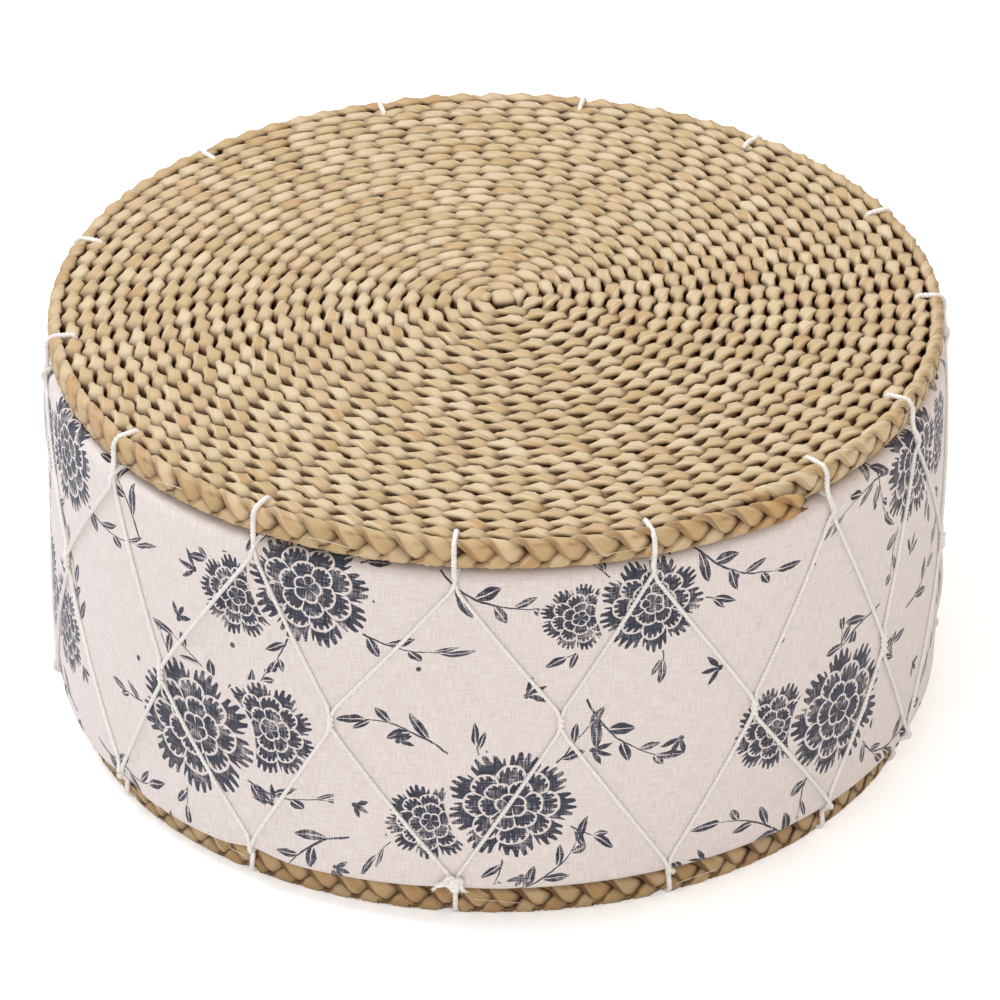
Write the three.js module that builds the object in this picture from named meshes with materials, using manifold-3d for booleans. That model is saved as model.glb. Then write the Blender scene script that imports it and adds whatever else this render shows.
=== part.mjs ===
// Low round floor stool: two flat spiral mats of plaited rush with a printed cloth band between
// them, laced together by a cotton cord in a diamond net that hooks over their outer rings.
// Millimetres, +Z up, origin on the floor under the middle. Angles are degrees from +X,
// counter-clockwise seen from above, and the front of the stool faces -Y.
import * as THREE from 'three';
import { mergeVertices } from 'three/addons/utils/BufferGeometryUtils.js';
import Module from 'manifold-3d';

const wasm = await Module();
wasm.setup();

// Overall
const seatDiameter = 450;
const stoolHeight = 219;
const matHeight = 15.5;
const baseInset = 7.5;
const clear = 0.3;

// Plaited strip on edge, wound into each mat
const coil = {
  loops: 24,
  coarseLoops: 12,
  coarseSteps: 12,
  fineSteps: 24,
  loopGap: 0.7,
  startRadius: 10,
  startTurnIn: 45,
  footShare: 0.74,
  shoulderShare: 0.58,
  tailLoopShare: 1 / 12,
  tailWidthShare: 0.55,
  tailHeightShare: 0.7,
};
const seatTailAngle = 310.5;
const baseTailAngle = 127.5;

// Lacing cord and its net
const cordDiameter = 2.4;
const cordSides = 6;
const cordBend = 2;
const cornerBendAngle = 45;
const humpRun = 8;
const legStepAngle = 8.4;
const crossingAngleShares = [
  0.38, 0.4, 0.53, 0.53, 0.57, 0.5, 0.47, 0.53, 0.49, 0.52, 0.46, 0.51, 0.5, 0.48,
];
const crossingHeightShares = [
  0.46, 0.51, 0.55, 0.47, 0.43, 0.49, 0.53, 0.5, 0.46, 0.52, 0.48, 0.51, 0.49, 0.56,
];
const ringsHooked = 2;
const hooks = 14;
const firstHookAngle = 210.5;
const hookShiftShares = [
  0.17, 0.12, 0.12, 0.06, 0.09, -0.14, -0.08, -0.16, -0.15, -0.15, -0.06, 0.01, 0.11, 0.12,
];

// Tied ends of the cord at the front: a flat knot with two short tails
const knot = { hook: 2, width: 11, depth: 4.6, height: 9, sides: 12, rings: 8 };
const knotTail = { length: 14, spread: 32, sides: 8 };

// Cloth band, its turned-in hems and its slight swell
const clothThick = 1.2;
const clothSwell = 1.4;
const clothCorner = 6;
const hemTuck = 8;
const clothSides = 56;
const cornerSteps = 3;
const swellSteps = 4;

// Stuffing
const wadThick = 8;
const foamLayers = 3;
const innerSides = clothSides / 2;

// Sizes that follow from the ones above
const cordRadius = cordDiameter / 2;
const cordOff = cordRadius + clear;
const cordRoom = cordDiameter + 2 * clear;
const seatBottom = stoolHeight - matHeight;
const drumTop = seatBottom - cordRoom;
const drumBottom = matHeight + cordRoom;
const drumRadius = seatDiameter / 2;
const wallTop = drumTop - clothCorner;
const wallBottom = drumBottom + clothCorner;
const evenHook = 360 / hooks;
const foamRadius = drumRadius - clothThick - wadThick - 2 * clear;
const foamTop = drumTop - clothThick - clear;
const foamBottom = drumBottom + clothThick + clear;

const colours = {
  rush: 0xc39d6b,
  cloth: 0xe9e2d8,
  cord: 0xf0ece2,
  calico: 0xddd2bd,
  wadding: 0xf4f3ef,
  foam: 0xb9c4b4,
};

const rad = THREE.MathUtils.degToRad;
const deg = THREE.MathUtils.radToDeg;
const wrap = THREE.MathUtils.euclideanModulo;
const mix = THREE.MathUtils.lerp;
const limit = THREE.MathUtils.clamp;
const up = new THREE.Vector3(0, 0, 1);

function polar(radius, degrees, height) {
  return new THREE.Vector3(radius * Math.cos(rad(degrees)), radius * Math.sin(rad(degrees)), height);
}

function piece(name, geometry, colour, roughness) {
  const material = new THREE.MeshStandardMaterial({ color: colour, roughness, metalness: 0 });
  const mesh = new THREE.Mesh(geometry, material);
  mesh.name = name;
  return mesh;
}

// Joins rings of points into one tube, closed by two end faces or joined end to start
function tubeThrough(rings, endless) {
  const sides = rings[0].length;
  const faces = [];
  const spans = endless ? rings.length : rings.length - 1;
  for (let k = 0; k < spans; k += 1) {
    const here = k * sides;
    const next = ((k + 1) % rings.length) * sides;
    for (let i = 0; i < sides; i += 1) {
      const j = (i + 1) % sides;
      faces.push(here + i, next + j, here + j, here + i, next + i, next + j);
    }
  }
  const last = (rings.length - 1) * sides;
  for (let i = 1; i < sides - 1 && !endless; i += 1) {
    faces.push(0, i, i + 1, last, last + i + 1, last + i);
  }
  const geometry = new THREE.BufferGeometry();
  const places = rings.flat().flatMap((p) => [p.x, p.y, p.z]);
  geometry.setAttribute('position', new THREE.Float32BufferAttribute(places, 3));
  geometry.setIndex(faces);
  geometry.computeVertexNormals();
  return geometry;
}

// Everything about one mat that its coil and the lacing both need. The two rings that the cord
// hooks are nipped thinner on their free side, and the winding opens behind them for the cord.
function planMat({ rimRadius, bottom, nipAbove, nipBelow, tailAngle }) {
  const opening = cordRoom - coil.loopGap;
  const pitch = (rimRadius + coil.loopGap / 2 - coil.startRadius - opening) / coil.loops;
  const strip = pitch - coil.loopGap;
  const pole = polar(pitch / Math.PI, tailAngle + 90, 0);
  const openTurn = coil.loops - ringsHooked;
  const fineTurn = 1 / coil.fineSteps;

  const angleAt = (turn) => tailAngle + 360 * (turn - coil.loops);

  // Distance from the pole to the strip's middle, with its width and height, after some turns
  function stripAt(turn) {
    const hooked = limit((turn - openTurn) / fineTurn + 1, 0, 1);
    const toTail = limit((turn - coil.loops) / coil.tailLoopShare + 1, 0, 1);
    const half = (strip * mix(1, coil.tailWidthShare, toTail)) / 2;
    const outerTrim = strip / 2 - half;
    const low = bottom + hooked * nipBelow;
    const high = bottom + matHeight - hooked * nipAbove;
    return {
      middle: coil.startRadius + pitch * turn + hooked * opening - outerTrim,
      half,
      low,
      high: mix(low, high, mix(1, coil.tailHeightShare, toTail)),
    };
  }

  // The strip's five corners: a flat foot, a shoulder each side, and a crest
  function section(turn, centre, outward) {
    const { half, low, high } = stripAt(turn);
    const foot = half * coil.footShare;
    const shoulder = mix(low, high, coil.shoulderShare);
    const corner = (out, z) => centre.clone().addScaledVector(outward, out).setZ(z);
    return [
      corner(foot, low), corner(half, shoulder), corner(0, high), corner(-half, shoulder),
      corner(-foot, low),
    ];
  }

  // Radius of the strip's straight facet at a turn, on its outer (1) or inner (-1) side
  function facetRadius(turn, side) {
    const first = Math.floor(turn / fineTurn) * fineTurn;
    const [near, far] = [first, first + fineTurn].map((t) => {
      const { middle, half } = stripAt(t);
      return middle + side * half;
    });
    const whole = rad(360 * fineTurn);
    const part = rad(360 * (turn - first));
    const spread = near * Math.sin(part) + far * Math.sin(whole - part);
    return (near * far * Math.sin(whole)) / spread;
  }

  return { strip, pole, tailAngle, angleAt, stripAt, section, facetRadius };
}

// Route of the strip: a short straight run at the middle, the loops, and a straight tail
function coilRings(mat) {
  const along = (angle) => polar(1, angle + 90, 0);
  const at = (turn) => polar(mat.stripAt(turn).middle, mat.angleAt(turn), 0).add(mat.pole);
  const turns = [];
  for (let k = 0; k < coil.coarseLoops * coil.coarseSteps; k += 1) {
    turns.push(k / coil.coarseSteps);
  }
  for (let k = coil.coarseLoops * coil.fineSteps; k <= coil.loops * coil.fineSteps; k += 1) {
    turns.push(k / coil.fineSteps);
  }
  const rings = turns.map((t) => mat.section(t, at(t), polar(1, mat.angleAt(t), 0)));
  const startFacing = mat.angleAt(0) - coil.startTurnIn;
  const start = at(0).addScaledVector(along(startFacing), -mat.strip);
  const end = at(coil.loops).addScaledVector(along(mat.tailAngle), mat.strip);
  rings.unshift(mat.section(0, start, polar(1, startFacing, 0)));
  rings.push(mat.section(coil.loops, end, polar(1, mat.tailAngle, 0)));
  return rings;
}

// Least distance from each ring's points to those of the rings that lie a loop away
function leastGap(rings) {
  let least = Infinity;
  rings.forEach((ring, k) => {
    const apart = k < coil.coarseLoops * coil.coarseSteps ? coil.coarseSteps : coil.fineSteps;
    for (const other of rings.slice(k + Math.round(apart / 2))) {
      for (const p of ring) {
        for (const q of other) {
          least = Math.min(least, p.distanceTo(q));
        }
      }
    }
  });
  return least;
}

function makeMat(name, mat) {
  const rings = coilRings(mat);
  console.log(`${name} least gap to itself: ${leastGap(rings).toFixed(2)} mm`);
  return piece(name, tubeThrough(rings, false), colours.rush, 0.8);
}

// Cloth's outer radius at a height: a slight swell between its rounded edges
function clothRadius(z) {
  const share = limit((z - wallBottom) / (wallTop - wallBottom), 0, 1);
  return drumRadius + 4 * clothSwell * share * (1 - share);
}

// Half of a turned profile from the floor side up, at an inset from the cloth's outside
function wallProfile(inset) {
  const corner = clothCorner - inset;
  const inner = drumRadius - clothCorner;
  const points = [];
  for (let k = 0; k <= cornerSteps; k += 1) {
    const turn = rad(90 * (k / cornerSteps));
    points.push([inner + corner * Math.sin(turn), wallBottom - corner * Math.cos(turn)]);
  }
  for (let k = 1; k < swellSteps; k += 1) {
    const z = mix(wallBottom, wallTop, k / swellSteps);
    points.push([clothRadius(z) - inset, z]);
  }
  for (let k = 0; k <= cornerSteps; k += 1) {
    const turn = rad(90 * (k / cornerSteps));
    points.push([inner + corner * Math.cos(turn), wallTop + corner * Math.sin(turn)]);
  }
  return points;
}

function turned(profile, sides) {
  const points = profile.map(([radius, z]) => new THREE.Vector2(radius, z));
  return new THREE.LatheGeometry(points, sides).rotateX(rad(90));
}

function makeCloth() {
  const hem = hemRadius();
  const outside = [[hem, drumBottom], ...wallProfile(0), [hem, drumTop]];
  const inside = [
    [hem, drumTop - clothThick], ...wallProfile(clothThick).reverse(),
    [hem, drumBottom + clothThick], outside[0],
  ];
  return piece('side_cloth_band', turned([...outside, ...inside], clothSides), colours.cloth, 0.9);
}

function makeWadding() {
  const bore = foamRadius + clear;
  const outside = [[bore, foamBottom], ...wallProfile(clothThick + clear), [bore, foamTop]];
  return piece('wadding_wrap', turned([...outside, outside[0]], innerSides), colours.wadding, 1);
}

// Foam discs stacked in the wadding; the outer two fill the space inside the hems
function makeFoam(layer) {
  const height = (foamTop - foamBottom - clear * (foamLayers - 1)) / foamLayers;
  const low = foamBottom + layer * (height + clear);
  const high = low + height;
  const crown = hemRadius() - clear;
  const first = layer === 0;
  const last = layer === foamLayers - 1;
  const bottomEdge = first ? [[0, drumBottom], [crown, drumBottom], [crown, low]] : [[0, low]];
  const topEdge = last ? [[crown, high], [crown, drumTop], [0, drumTop]] : [[0, high]];
  const profile = [...bottomEdge, [foamRadius, low], [foamRadius, high], ...topEdge];
  return piece(`foam_disc_${layer + 1}`, turned(profile, innerSides), colours.foam, 1);
}

// Radius of the calico disc on a mat's drum side, just inside the ring of hooks
function liningRadius(mat) {
  const { middle, half } = mat.stripAt(coil.loops - ringsHooked - 1);
  const facet = (middle - half) * Math.cos(rad(180 / coil.fineSteps));
  return facet - mat.pole.length() + half;
}

// Inner edge of the cloth's turned-in hems, tucked under both calico discs
function hemRadius() {
  return Math.min(liningRadius(seatMat), liningRadius(baseMat)) - hemTuck;
}

// Calico disc between a mat and the drum's hems
function makeLining(name, mat, bottom) {
  const radius = liningRadius(mat);
  const top = bottom + cordDiameter;
  const profile = [[0, bottom], [radius, bottom], [radius, top], [0, top]];
  return piece(name, turned(profile, innerSides), colours.calico, 0.9);
}

function hookAngle(k) {
  return firstHookAngle + evenHook * (k + hookShiftShares[k % hooks]);
}

// One hook of the cord: up beside the mat, over its two outer rings, down between the second
// and third, and back out between the mat and the drum. side is 1 at the seat, -1 at the base.
function hookRoute(mat, angle, side) {
  const turn = coil.loops - wrap(mat.tailAngle - angle, 360) / 360;
  const rim = mat.stripAt(turn);
  const second = mat.stripAt(turn - 1);
  const outer = rim.middle + rim.half + cordOff;
  const inner = (mat.facetRadius(turn - 1, -1) + mat.facetRadius(turn - 2, 1)) / 2;
  const free = side > 0 ? second.high + cordOff : second.low - cordOff;
  const drumSide = side > 0 ? seatBottom - cordOff : matHeight + cordOff;
  const yoke = side > 0 ? wallTop : wallBottom;
  const corner = (clothCorner + cordOff) / Math.cos(rad(cornerBendAngle / 2));
  const slant = corner * Math.cos(rad(cornerBendAngle));
  const edge = drumRadius - clothCorner;
  const apart = deg(cordOff / drumRadius);

  const fromPole = (radius, turnOff, z) => polar(radius, angle + turnOff, z).add(mat.pole);
  const fromAxis = (radius, turnOff, z) => polar(radius, angle + turnOff, z);
  const beside = Math.max(outer, edge + slant - mat.pole.dot(polar(1, angle, 0)));
  return [
    fromAxis(legRadius(yoke), -apart, yoke),
    fromPole(beside, -apart, drumSide + side * clear),
    fromPole(outer, -apart, free - side * cordBend),
    fromPole(outer - cordBend, -apart, free),
    fromPole(inner + cordBend, -apart, free),
    fromPole(inner, -apart, free - side * cordBend),
    fromPole(inner, apart, drumSide + side * cordBend),
    fromPole(inner + cordBend, apart, drumSide),
    fromAxis(edge, apart, drumSide),
    fromAxis(edge + slant, apart, yoke + side * slant),
    fromAxis(legRadius(yoke), apart, yoke),
  ];
}

// Radius at which a leg of the lacing runs, lifted so that its straight steps clear the cloth
function legRadius(z) {
  const lift = drumRadius * (1 - Math.cos(rad(legStepAngle / 2)));
  return clothRadius(z) + cordOff + lift;
}

// Slanting leg from hook k to the next, through the point where it crosses the other cord's leg;
// the strand that comes down rides over the other one
function legRoute(k, from, to, over) {
  const startAngle = deg(Math.atan2(from.y, from.x));
  const span = wrap(deg(Math.atan2(to.y, to.x)) - startAngle, 360);
  const crossAngle = mix(hookAngle(k), hookAngle(k + 1), crossingAngleShares[k]);
  const crossTurn = wrap(crossAngle - startAngle, 360);
  const crossHeight = mix(wallBottom, wallTop, crossingHeightShares[k]);
  const at = (turn, z, lift) => polar(legRadius(z) + lift, startAngle + turn, z);
  const near = (end, share, lift) => at(
    mix(crossTurn, end.turn, share), mix(crossHeight, end.z, share), lift,
  );
  const ends = [{ turn: 0, z: from.z }, { turn: span, z: to.z }];
  const [before, after] = ends.map(({ turn, z }) => {
    const run = Math.hypot(rad(turn - crossTurn) * drumRadius, z - crossHeight);
    return over ? [near({ turn, z }, 0.5, 0), near({ turn, z }, humpRun / run, 0)]
      : [near({ turn, z }, 0.5, 0)];
  });
  return [...before, at(crossTurn, crossHeight, over ? cordRoom : 0), ...after.reverse()];
}

// One endless cord that hooks the seat and the base in turn, all the way round
function makeLacing(name, firstSide) {
  const hookRoutes = [];
  for (let k = 0; k < hooks; k += 1) {
    const side = k % 2 === 0 ? firstSide : -firstSide;
    const mat = side > 0 ? seatMat : baseMat;
    hookRoutes.push({ side, points: hookRoute(mat, hookAngle(k), side) });
  }
  const route = hookRoutes.flatMap(({ side, points }, k) => {
    const next = hookRoutes[(k + 1) % hooks].points;
    return [...points, ...legRoute(k, points.at(-1), next[0], side > 0)];
  });
  const rings = route.map((p, k) => {
    const before = route.at(k - 1);
    const after = route[(k + 1) % route.length];
    const ahead = after.clone().sub(p).normalize().add(p.clone().sub(before).normalize()).normalize();
    const around = new THREE.Vector3().crossVectors(up, p).normalize();
    const normal = new THREE.Vector3().crossVectors(ahead, around).normalize();
    const side = new THREE.Vector3().crossVectors(normal, ahead);
    return Array.from({ length: cordSides }, (unused, i) => {
      const turn = (2 * Math.PI * i) / cordSides;
      return p.clone().addScaledVector(normal, cordRadius * Math.cos(turn))
        .addScaledVector(side, cordRadius * Math.sin(turn));
    });
  });
  return piece(name, tubeThrough(rings, true), colours.cord, 0.9);
}

function toSolid(geometry) {
  const bare = geometry.clone();
  bare.deleteAttribute('normal');
  bare.deleteAttribute('uv');
  const merged = mergeVertices(bare);
  return new wasm.Manifold(new wasm.Mesh({
    numProp: 3,
    vertProperties: new Float32Array(merged.attributes.position.array),
    triVerts: new Uint32Array(merged.index.array),
  }));
}

function fromSolid(solid) {
  const mesh = solid.getMesh();
  const geometry = new THREE.BufferGeometry();
  geometry.setAttribute('position', new THREE.BufferAttribute(mesh.vertProperties, 3));
  geometry.setIndex(new THREE.BufferAttribute(mesh.triVerts, 1));
  geometry.computeVertexNormals();
  return geometry;
}

// Knot that ties the cord's two ends, lying against the hook's strands on the front
function makeKnot() {
  const ball = new THREE.SphereGeometry(1, knot.sides, knot.rings);
  ball.scale(knot.width / 2, knot.depth / 2, knot.height / 2);
  const tails = [-1, 1].map((side) => {
    const strand = new THREE.CylinderGeometry(cordRadius, cordRadius, knotTail.length, knotTail.sides);
    strand.translate(0, -knotTail.length / 2, 0).rotateX(rad(90));
    return strand.rotateY(rad(-side * knotTail.spread));
  });
  const tied = tails.reduce((all, strand) => all.add(toSolid(strand)), toSolid(ball));
  const angle = hookAngle(knot.hook);
  const reach = legRadius(wallBottom) + cordOff + knot.depth / 2;
  const mesh = piece('lacing_knot', fromSolid(tied), colours.cord, 0.9);
  mesh.rotation.z = rad(angle + 90);
  mesh.position.copy(polar(reach, angle, wallBottom));
  return mesh;
}

const seatMat = planMat({
  rimRadius: seatDiameter / 2,
  bottom: seatBottom,
  nipAbove: cordRoom,
  nipBelow: 0,
  tailAngle: seatTailAngle,
});
const baseMat = planMat({
  rimRadius: seatDiameter / 2 - baseInset,
  bottom: 0,
  nipAbove: 0,
  nipBelow: cordRoom,
  tailAngle: baseTailAngle,
});

const stool = new THREE.Group();
stool.add(makeMat('base_mat_coil', baseMat));
stool.add(makeMat('seat_mat_coil', seatMat));
stool.add(makeCloth());
stool.add(makeWadding());
for (let layer = 0; layer < foamLayers; layer += 1) {
  stool.add(makeFoam(layer));
}
stool.add(makeLining('base_lining_disc', baseMat, matHeight + clear));
stool.add(makeLining('seat_lining_disc', seatMat, drumTop + clear));
stool.add(makeLacing('lacing_cord_a', -1));
stool.add(makeLacing('lacing_cord_b', 1));
stool.add(makeKnot());

export default stool;
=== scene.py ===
import math

import bmesh
import bpy
import numpy as np
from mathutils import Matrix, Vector


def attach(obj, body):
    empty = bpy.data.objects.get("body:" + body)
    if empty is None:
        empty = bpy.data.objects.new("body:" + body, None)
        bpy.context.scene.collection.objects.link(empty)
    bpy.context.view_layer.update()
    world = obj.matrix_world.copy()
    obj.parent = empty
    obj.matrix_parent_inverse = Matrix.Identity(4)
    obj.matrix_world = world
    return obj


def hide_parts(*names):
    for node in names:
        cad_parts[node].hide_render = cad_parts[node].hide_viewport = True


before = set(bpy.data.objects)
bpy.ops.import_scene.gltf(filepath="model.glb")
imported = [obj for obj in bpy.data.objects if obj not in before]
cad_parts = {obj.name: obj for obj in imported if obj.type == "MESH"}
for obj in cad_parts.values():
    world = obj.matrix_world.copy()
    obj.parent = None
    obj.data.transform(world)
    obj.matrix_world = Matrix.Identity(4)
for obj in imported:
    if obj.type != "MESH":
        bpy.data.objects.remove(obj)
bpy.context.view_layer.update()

# Low round floor stool: two mats of plaited rush wound flat, a printed cloth band over a
# foam drum, and a cotton cord that laces the mats together. Sizes in the dictionaries are in
# millimetres, the scene is in metres; +Z is up and the front is towards -Y.

mm = 0.001
tau = 2 * math.pi
scene = bpy.context.scene


def addNode(tree, kind, *values, output=0, sockets=None, **settings):
    # values go to the sockets in order, sockets by name; a socket is linked, the rest is set
    node = tree.nodes.new(kind)
    for name, value in settings.items():
        setattr(node, name, value)
    for key, value in [*enumerate(values), *(sockets or {}).items()]:
        if isinstance(value, bpy.types.NodeSocket):
            tree.links.new(value, node.inputs[key])
        elif value is not None:
            node.inputs[key].default_value = value
    return node.outputs if output is None else node.outputs[output]


def colour(hexValue):
    # an sRGB hex colour as linear red, green, blue and 1
    shares = [int(hexValue[i:i + 2], 16) / 255 for i in (1, 3, 5)]
    return [c / 12.92 if c < 0.04045 else ((c + 0.055) / 1.055) ** 2.4 for c in shares] + [1]


def polar(radius, degrees, height):
    turn = math.radians(degrees)
    return np.array([radius * math.cos(turn), radius * math.sin(turn), height])


def makePiece(name, mesh, material, slot, *nodes):
    # a finished mesh becomes a piece of the stool in place of its plain solids
    mesh.materials.clear()
    mesh.materials.append(material)
    piece = bpy.data.objects.new(name, mesh)
    mesh.name = name
    scene.collection.objects.link(piece)
    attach(piece, "root")
    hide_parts(*nodes)
    return piece


def runTree(tree, carrier, values):
    # runs a node tree on a carrier object with these named values and returns the plain mesh
    modifier = carrier.modifiers.new("make", "NODES")
    modifier.node_group = tree
    for item in tree.interface.items_tree:
        if item.in_out == "INPUT" and item.name in values:
            modifier[item.identifier] = values[item.name]
    shown = carrier.evaluated_get(bpy.context.evaluated_depsgraph_get())
    mesh = bpy.data.meshes.new_from_object(shown)
    carrier.modifiers.remove(modifier)
    return mesh


def newTree(name, inputs, outputs, family="GeometryNodeTree"):
    # a node group with these named sockets, and the sockets that its nodes read
    tree = bpy.data.node_groups.new(name, family)
    for inOut, wanted in (("INPUT", inputs), ("OUTPUT", outputs)):
        for socketName, kind in wanted.items():
            tree.interface.new_socket(socketName, in_out=inOut, socket_type="NodeSocket" + kind)
    return tree, addNode(tree, "NodeGroupInput", output=None)


def newMaterial(name):
    # an empty material, and the tree that its nodes go into
    material = bpy.data.materials.new(name)
    material.use_nodes = True
    material.node_tree.nodes.clear()
    return material, material.node_tree


def seenByRay(tree):
    # one where the camera looks straight at it, in a reflection or through glass
    rays = addNode(tree, "ShaderNodeLightPath", output=None)
    seen = addNode(tree, "ShaderNodeMath", rays["Is Camera Ray"], rays["Is Glossy Ray"],
                   operation="MAXIMUM")
    return addNode(tree, "ShaderNodeMath", seen, rays["Is Transmission Ray"],
                   operation="MAXIMUM")


# Camera where the photographer stood

# metres
viewFrom = {
    "target": (0.0020, 0.0, 0.1044),
    "elevation": 31.6,
    "distance": 3.332,
    "lens": 235.9,
}

raised = math.radians(viewFrom["elevation"])
back = Vector((0, -math.cos(raised), math.sin(raised)))
camera = bpy.data.objects.new("camera", bpy.data.cameras.new("camera"))
camera.data.lens = viewFrom["lens"]
camera.data.sensor_width = 36
camera.data.clip_end = 50
camera.location = Vector(viewFrom["target"]) + back * viewFrom["distance"]
camera.rotation_euler = back.to_track_quat("Z", "Y").to_euler()
scene.collection.objects.link(camera)
scene.camera = camera
scene.view_settings.view_transform = "Standard"

# White studio: floor, sky, a soft key over the left, a broad fill in front and a weak warm
# light from the right

# metres and watts
studio = {
    "floor": "#f4f4f4",
    "floorHalf": 6.0,
    "floorGlow": 0.42,
    "skyStrength": 0.56,
    "keyStrength": 34.5,
    "keySize": 0.9,
    "keyColour": "#f5f8ff",
    "keyFrom": (-1.15, 0.3, 2.3),
    "fillStrength": 27.5,
    "fillSize": 2.2,
    "fillColour": "#fff5ec",
    "fillFrom": (-0.3, -3.0, 1.2),
    "sideStrength": 14.0,
    "sideSize": 1.4,
    "sideColour": "#ffead2",
    "sideFrom": (2.2, 0.2, 2.1),
    "aimHeight": 0.1,
}

sky = bpy.data.worlds.new("studioSky")
scene.world = sky
sky.use_nodes = True
sky.node_tree.nodes.clear()
tree = sky.node_tree
lit = addNode(tree, "ShaderNodeBackground", colour("#ffffff"), studio["skyStrength"])
shown = addNode(tree, "ShaderNodeBackground", colour("#ffffff"), 1.0)
both = addNode(tree, "ShaderNodeMixShader", seenByRay(tree), lit, shown)
addNode(tree, "ShaderNodeOutputWorld", both, output=None)

aim = Vector((0, 0, studio["aimHeight"]))
for name in ("key", "fill", "side"):
    lamp = bpy.data.objects.new(name, bpy.data.lights.new(name, "AREA"))
    lamp.data.energy = studio[name + "Strength"]
    lamp.data.size = studio[name + "Size"]
    lamp.data.color = colour(studio[name + "Colour"])[:3]
    lamp.location = studio[name + "From"]
    lamp.rotation_euler = (lamp.location - aim).to_track_quat("Z", "Y").to_euler()
    scene.collection.objects.link(lamp)

half = studio["floorHalf"]
floorMesh = bpy.data.meshes.new("floor")
floorMesh.from_pydata([(-half, -half, 0), (half, -half, 0), (half, half, 0), (-half, half, 0)],
                      [], [(0, 1, 2, 3)])
floorPaint, tree = newMaterial("paintedFloor")
glow = addNode(tree, "ShaderNodeMath", seenByRay(tree), studio["floorGlow"],
               operation="MULTIPLY")
paint = addNode(tree, "ShaderNodeBsdfDiffuse", colour(studio["floor"]))
light = addNode(tree, "ShaderNodeEmission", colour("#ffffff"), glow)
both = addNode(tree, "ShaderNodeAddShader", paint, light)
addNode(tree, "ShaderNodeOutputMaterial", both, output=None)
floorMesh.materials.append(floorPaint)
floor = bpy.data.objects.new("floor", floorMesh)
scene.collection.objects.link(floor)
print("studio ready")

# Sizes that the mats, the drum and the lacing share

drum = {
    "radius": 225.0,
    "top": 200.5,
    "bottom": 18.5,
    "corner": 6.0,
    "swell": 1.4,
    "hem": 187.0,
}
seatBottom = 203.5
matHeight = 15.5

# Lacing: hooks from the front left round to the left, in degrees from +X. Each list has a value
# for every hook; those on the base stray and lean a little

lacing = {
    "firstHook": 210.5,
    "hookShifts": [0.17, 0.12, 0.12, 0.06, 0.09, -0.14, -0.08, -0.16, -0.15, -0.15, -0.06,
                   0.01, 0.11, 0.12],
    "baseShifts": [-0.5, -1.3, -0.2, 2.5, 0.9, 0.4, 0.0, -0.6, 0.7, 0.0, -0.5, 0.6, 0.3, -0.3],
    "baseLeans": [-8.0, -5.0, 0.0, 4.8, 6.0, 5.0, 2.0, -1.0, 1.0, 0.0, -1.0, -2.0, -4.0, -6.0],
    "crossingAngles": [0.38, 0.4, 0.53, 0.53, 0.57, 0.5, 0.47, 0.53, 0.49, 0.52, 0.46, 0.51,
                       0.5, 0.48],
    "crossingHeights": [0.46, 0.51, 0.55, 0.47, 0.43, 0.49, 0.53, 0.5, 0.46, 0.52, 0.48, 0.51,
                        0.49, 0.56],
    "nearGroove": 1.6,
    "legRadius": 1.1,
    "hookRadius": 1.3,
    "seatYoke": 196.5,
    "baseYoke": 23.5,
    "twistLength": 9.0,
    "twists": 1.5,
    "plyTurn": 6.5,
    "step": 0.9,
    "overSeat": 1.1,
    "underBase": 1.65,
    # height of the net's middle, and how far above and below it the cord is as thick as a hook
    "middle": 111.0,
    "hookFrom": 84.0,
    "hookBlend": 6.0,
}
hookCount = len(lacing["hookShifts"])


def hookAngle(k, side=1):
    # degrees round to hook k, past 360 on a second lap; side is 1 at the seat, -1 at the base
    lap = 360 * (k // hookCount)
    k = k % hookCount
    stray = lacing["baseShifts"][k] if side < 0 else 0
    return lap + lacing["firstHook"] + 360 / hookCount * (k + lacing["hookShifts"][k]) + stray


# Mats: a three-strand rush plait set on edge and wound in a flat spiral

seatMat = {
    "name": "seat_mat", "node": "seat_mat_coil", "low": seatBottom, "rim": 225.0,
    "tailAngle": 310.5, "free": 1, "dip": 1.7, "seed": 3.0, "heart": (3.1, 11.4),
    "shares": [0.0, 0.34, 0.67, 1.0], "steps": [16, 16, 16], "around": [10, 10, 10],
}
baseMat = {
    "name": "base_mat", "node": "base_mat_coil", "low": 0.0, "rim": 217.5,
    "tailAngle": 127.5, "free": -1, "dip": 3.0, "seed": 11.0, "heart": (-2.0, -3.0),
    "shares": [0.0, 0.79, 1.0], "steps": [9, 20], "around": [8, 14],
}
plait = {
    "startRadius": 7.9,
    "rings": 27,
    "turnLength": 45.0,
    "sway": 1.4,
    "swaySharpness": 0.45,
    "rimSharpness": 1.1,
    "rimSway": 2.0,
    "rimProud": 3.3,
    "halfWidth": 3.9,
    "faceWiden": 0.35,
    "halfThickness": 2.2,
    "overlap": 0.2,
    # powers of the section's two directions, below one for a flatter ribbon
    "section": (0.72, 0.6, 1.0),
    "flare": 0.16,
    "taperLength": 60.0,
    "tailDrop": 9.0,
    "tailTuck": 2.0,
    "wander": 0.45,
    "wanderLength": 38.0,
    "wave": 2.4,
    # the outer ring's low edge: heights between which it is turned under, and how far
    "underFrom": 0.4,
    "underTo": 3.4,
    "turnedUnder": 2.6,
    "pressEase": 1.4,
    "hookReach": 7.0,
}

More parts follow.
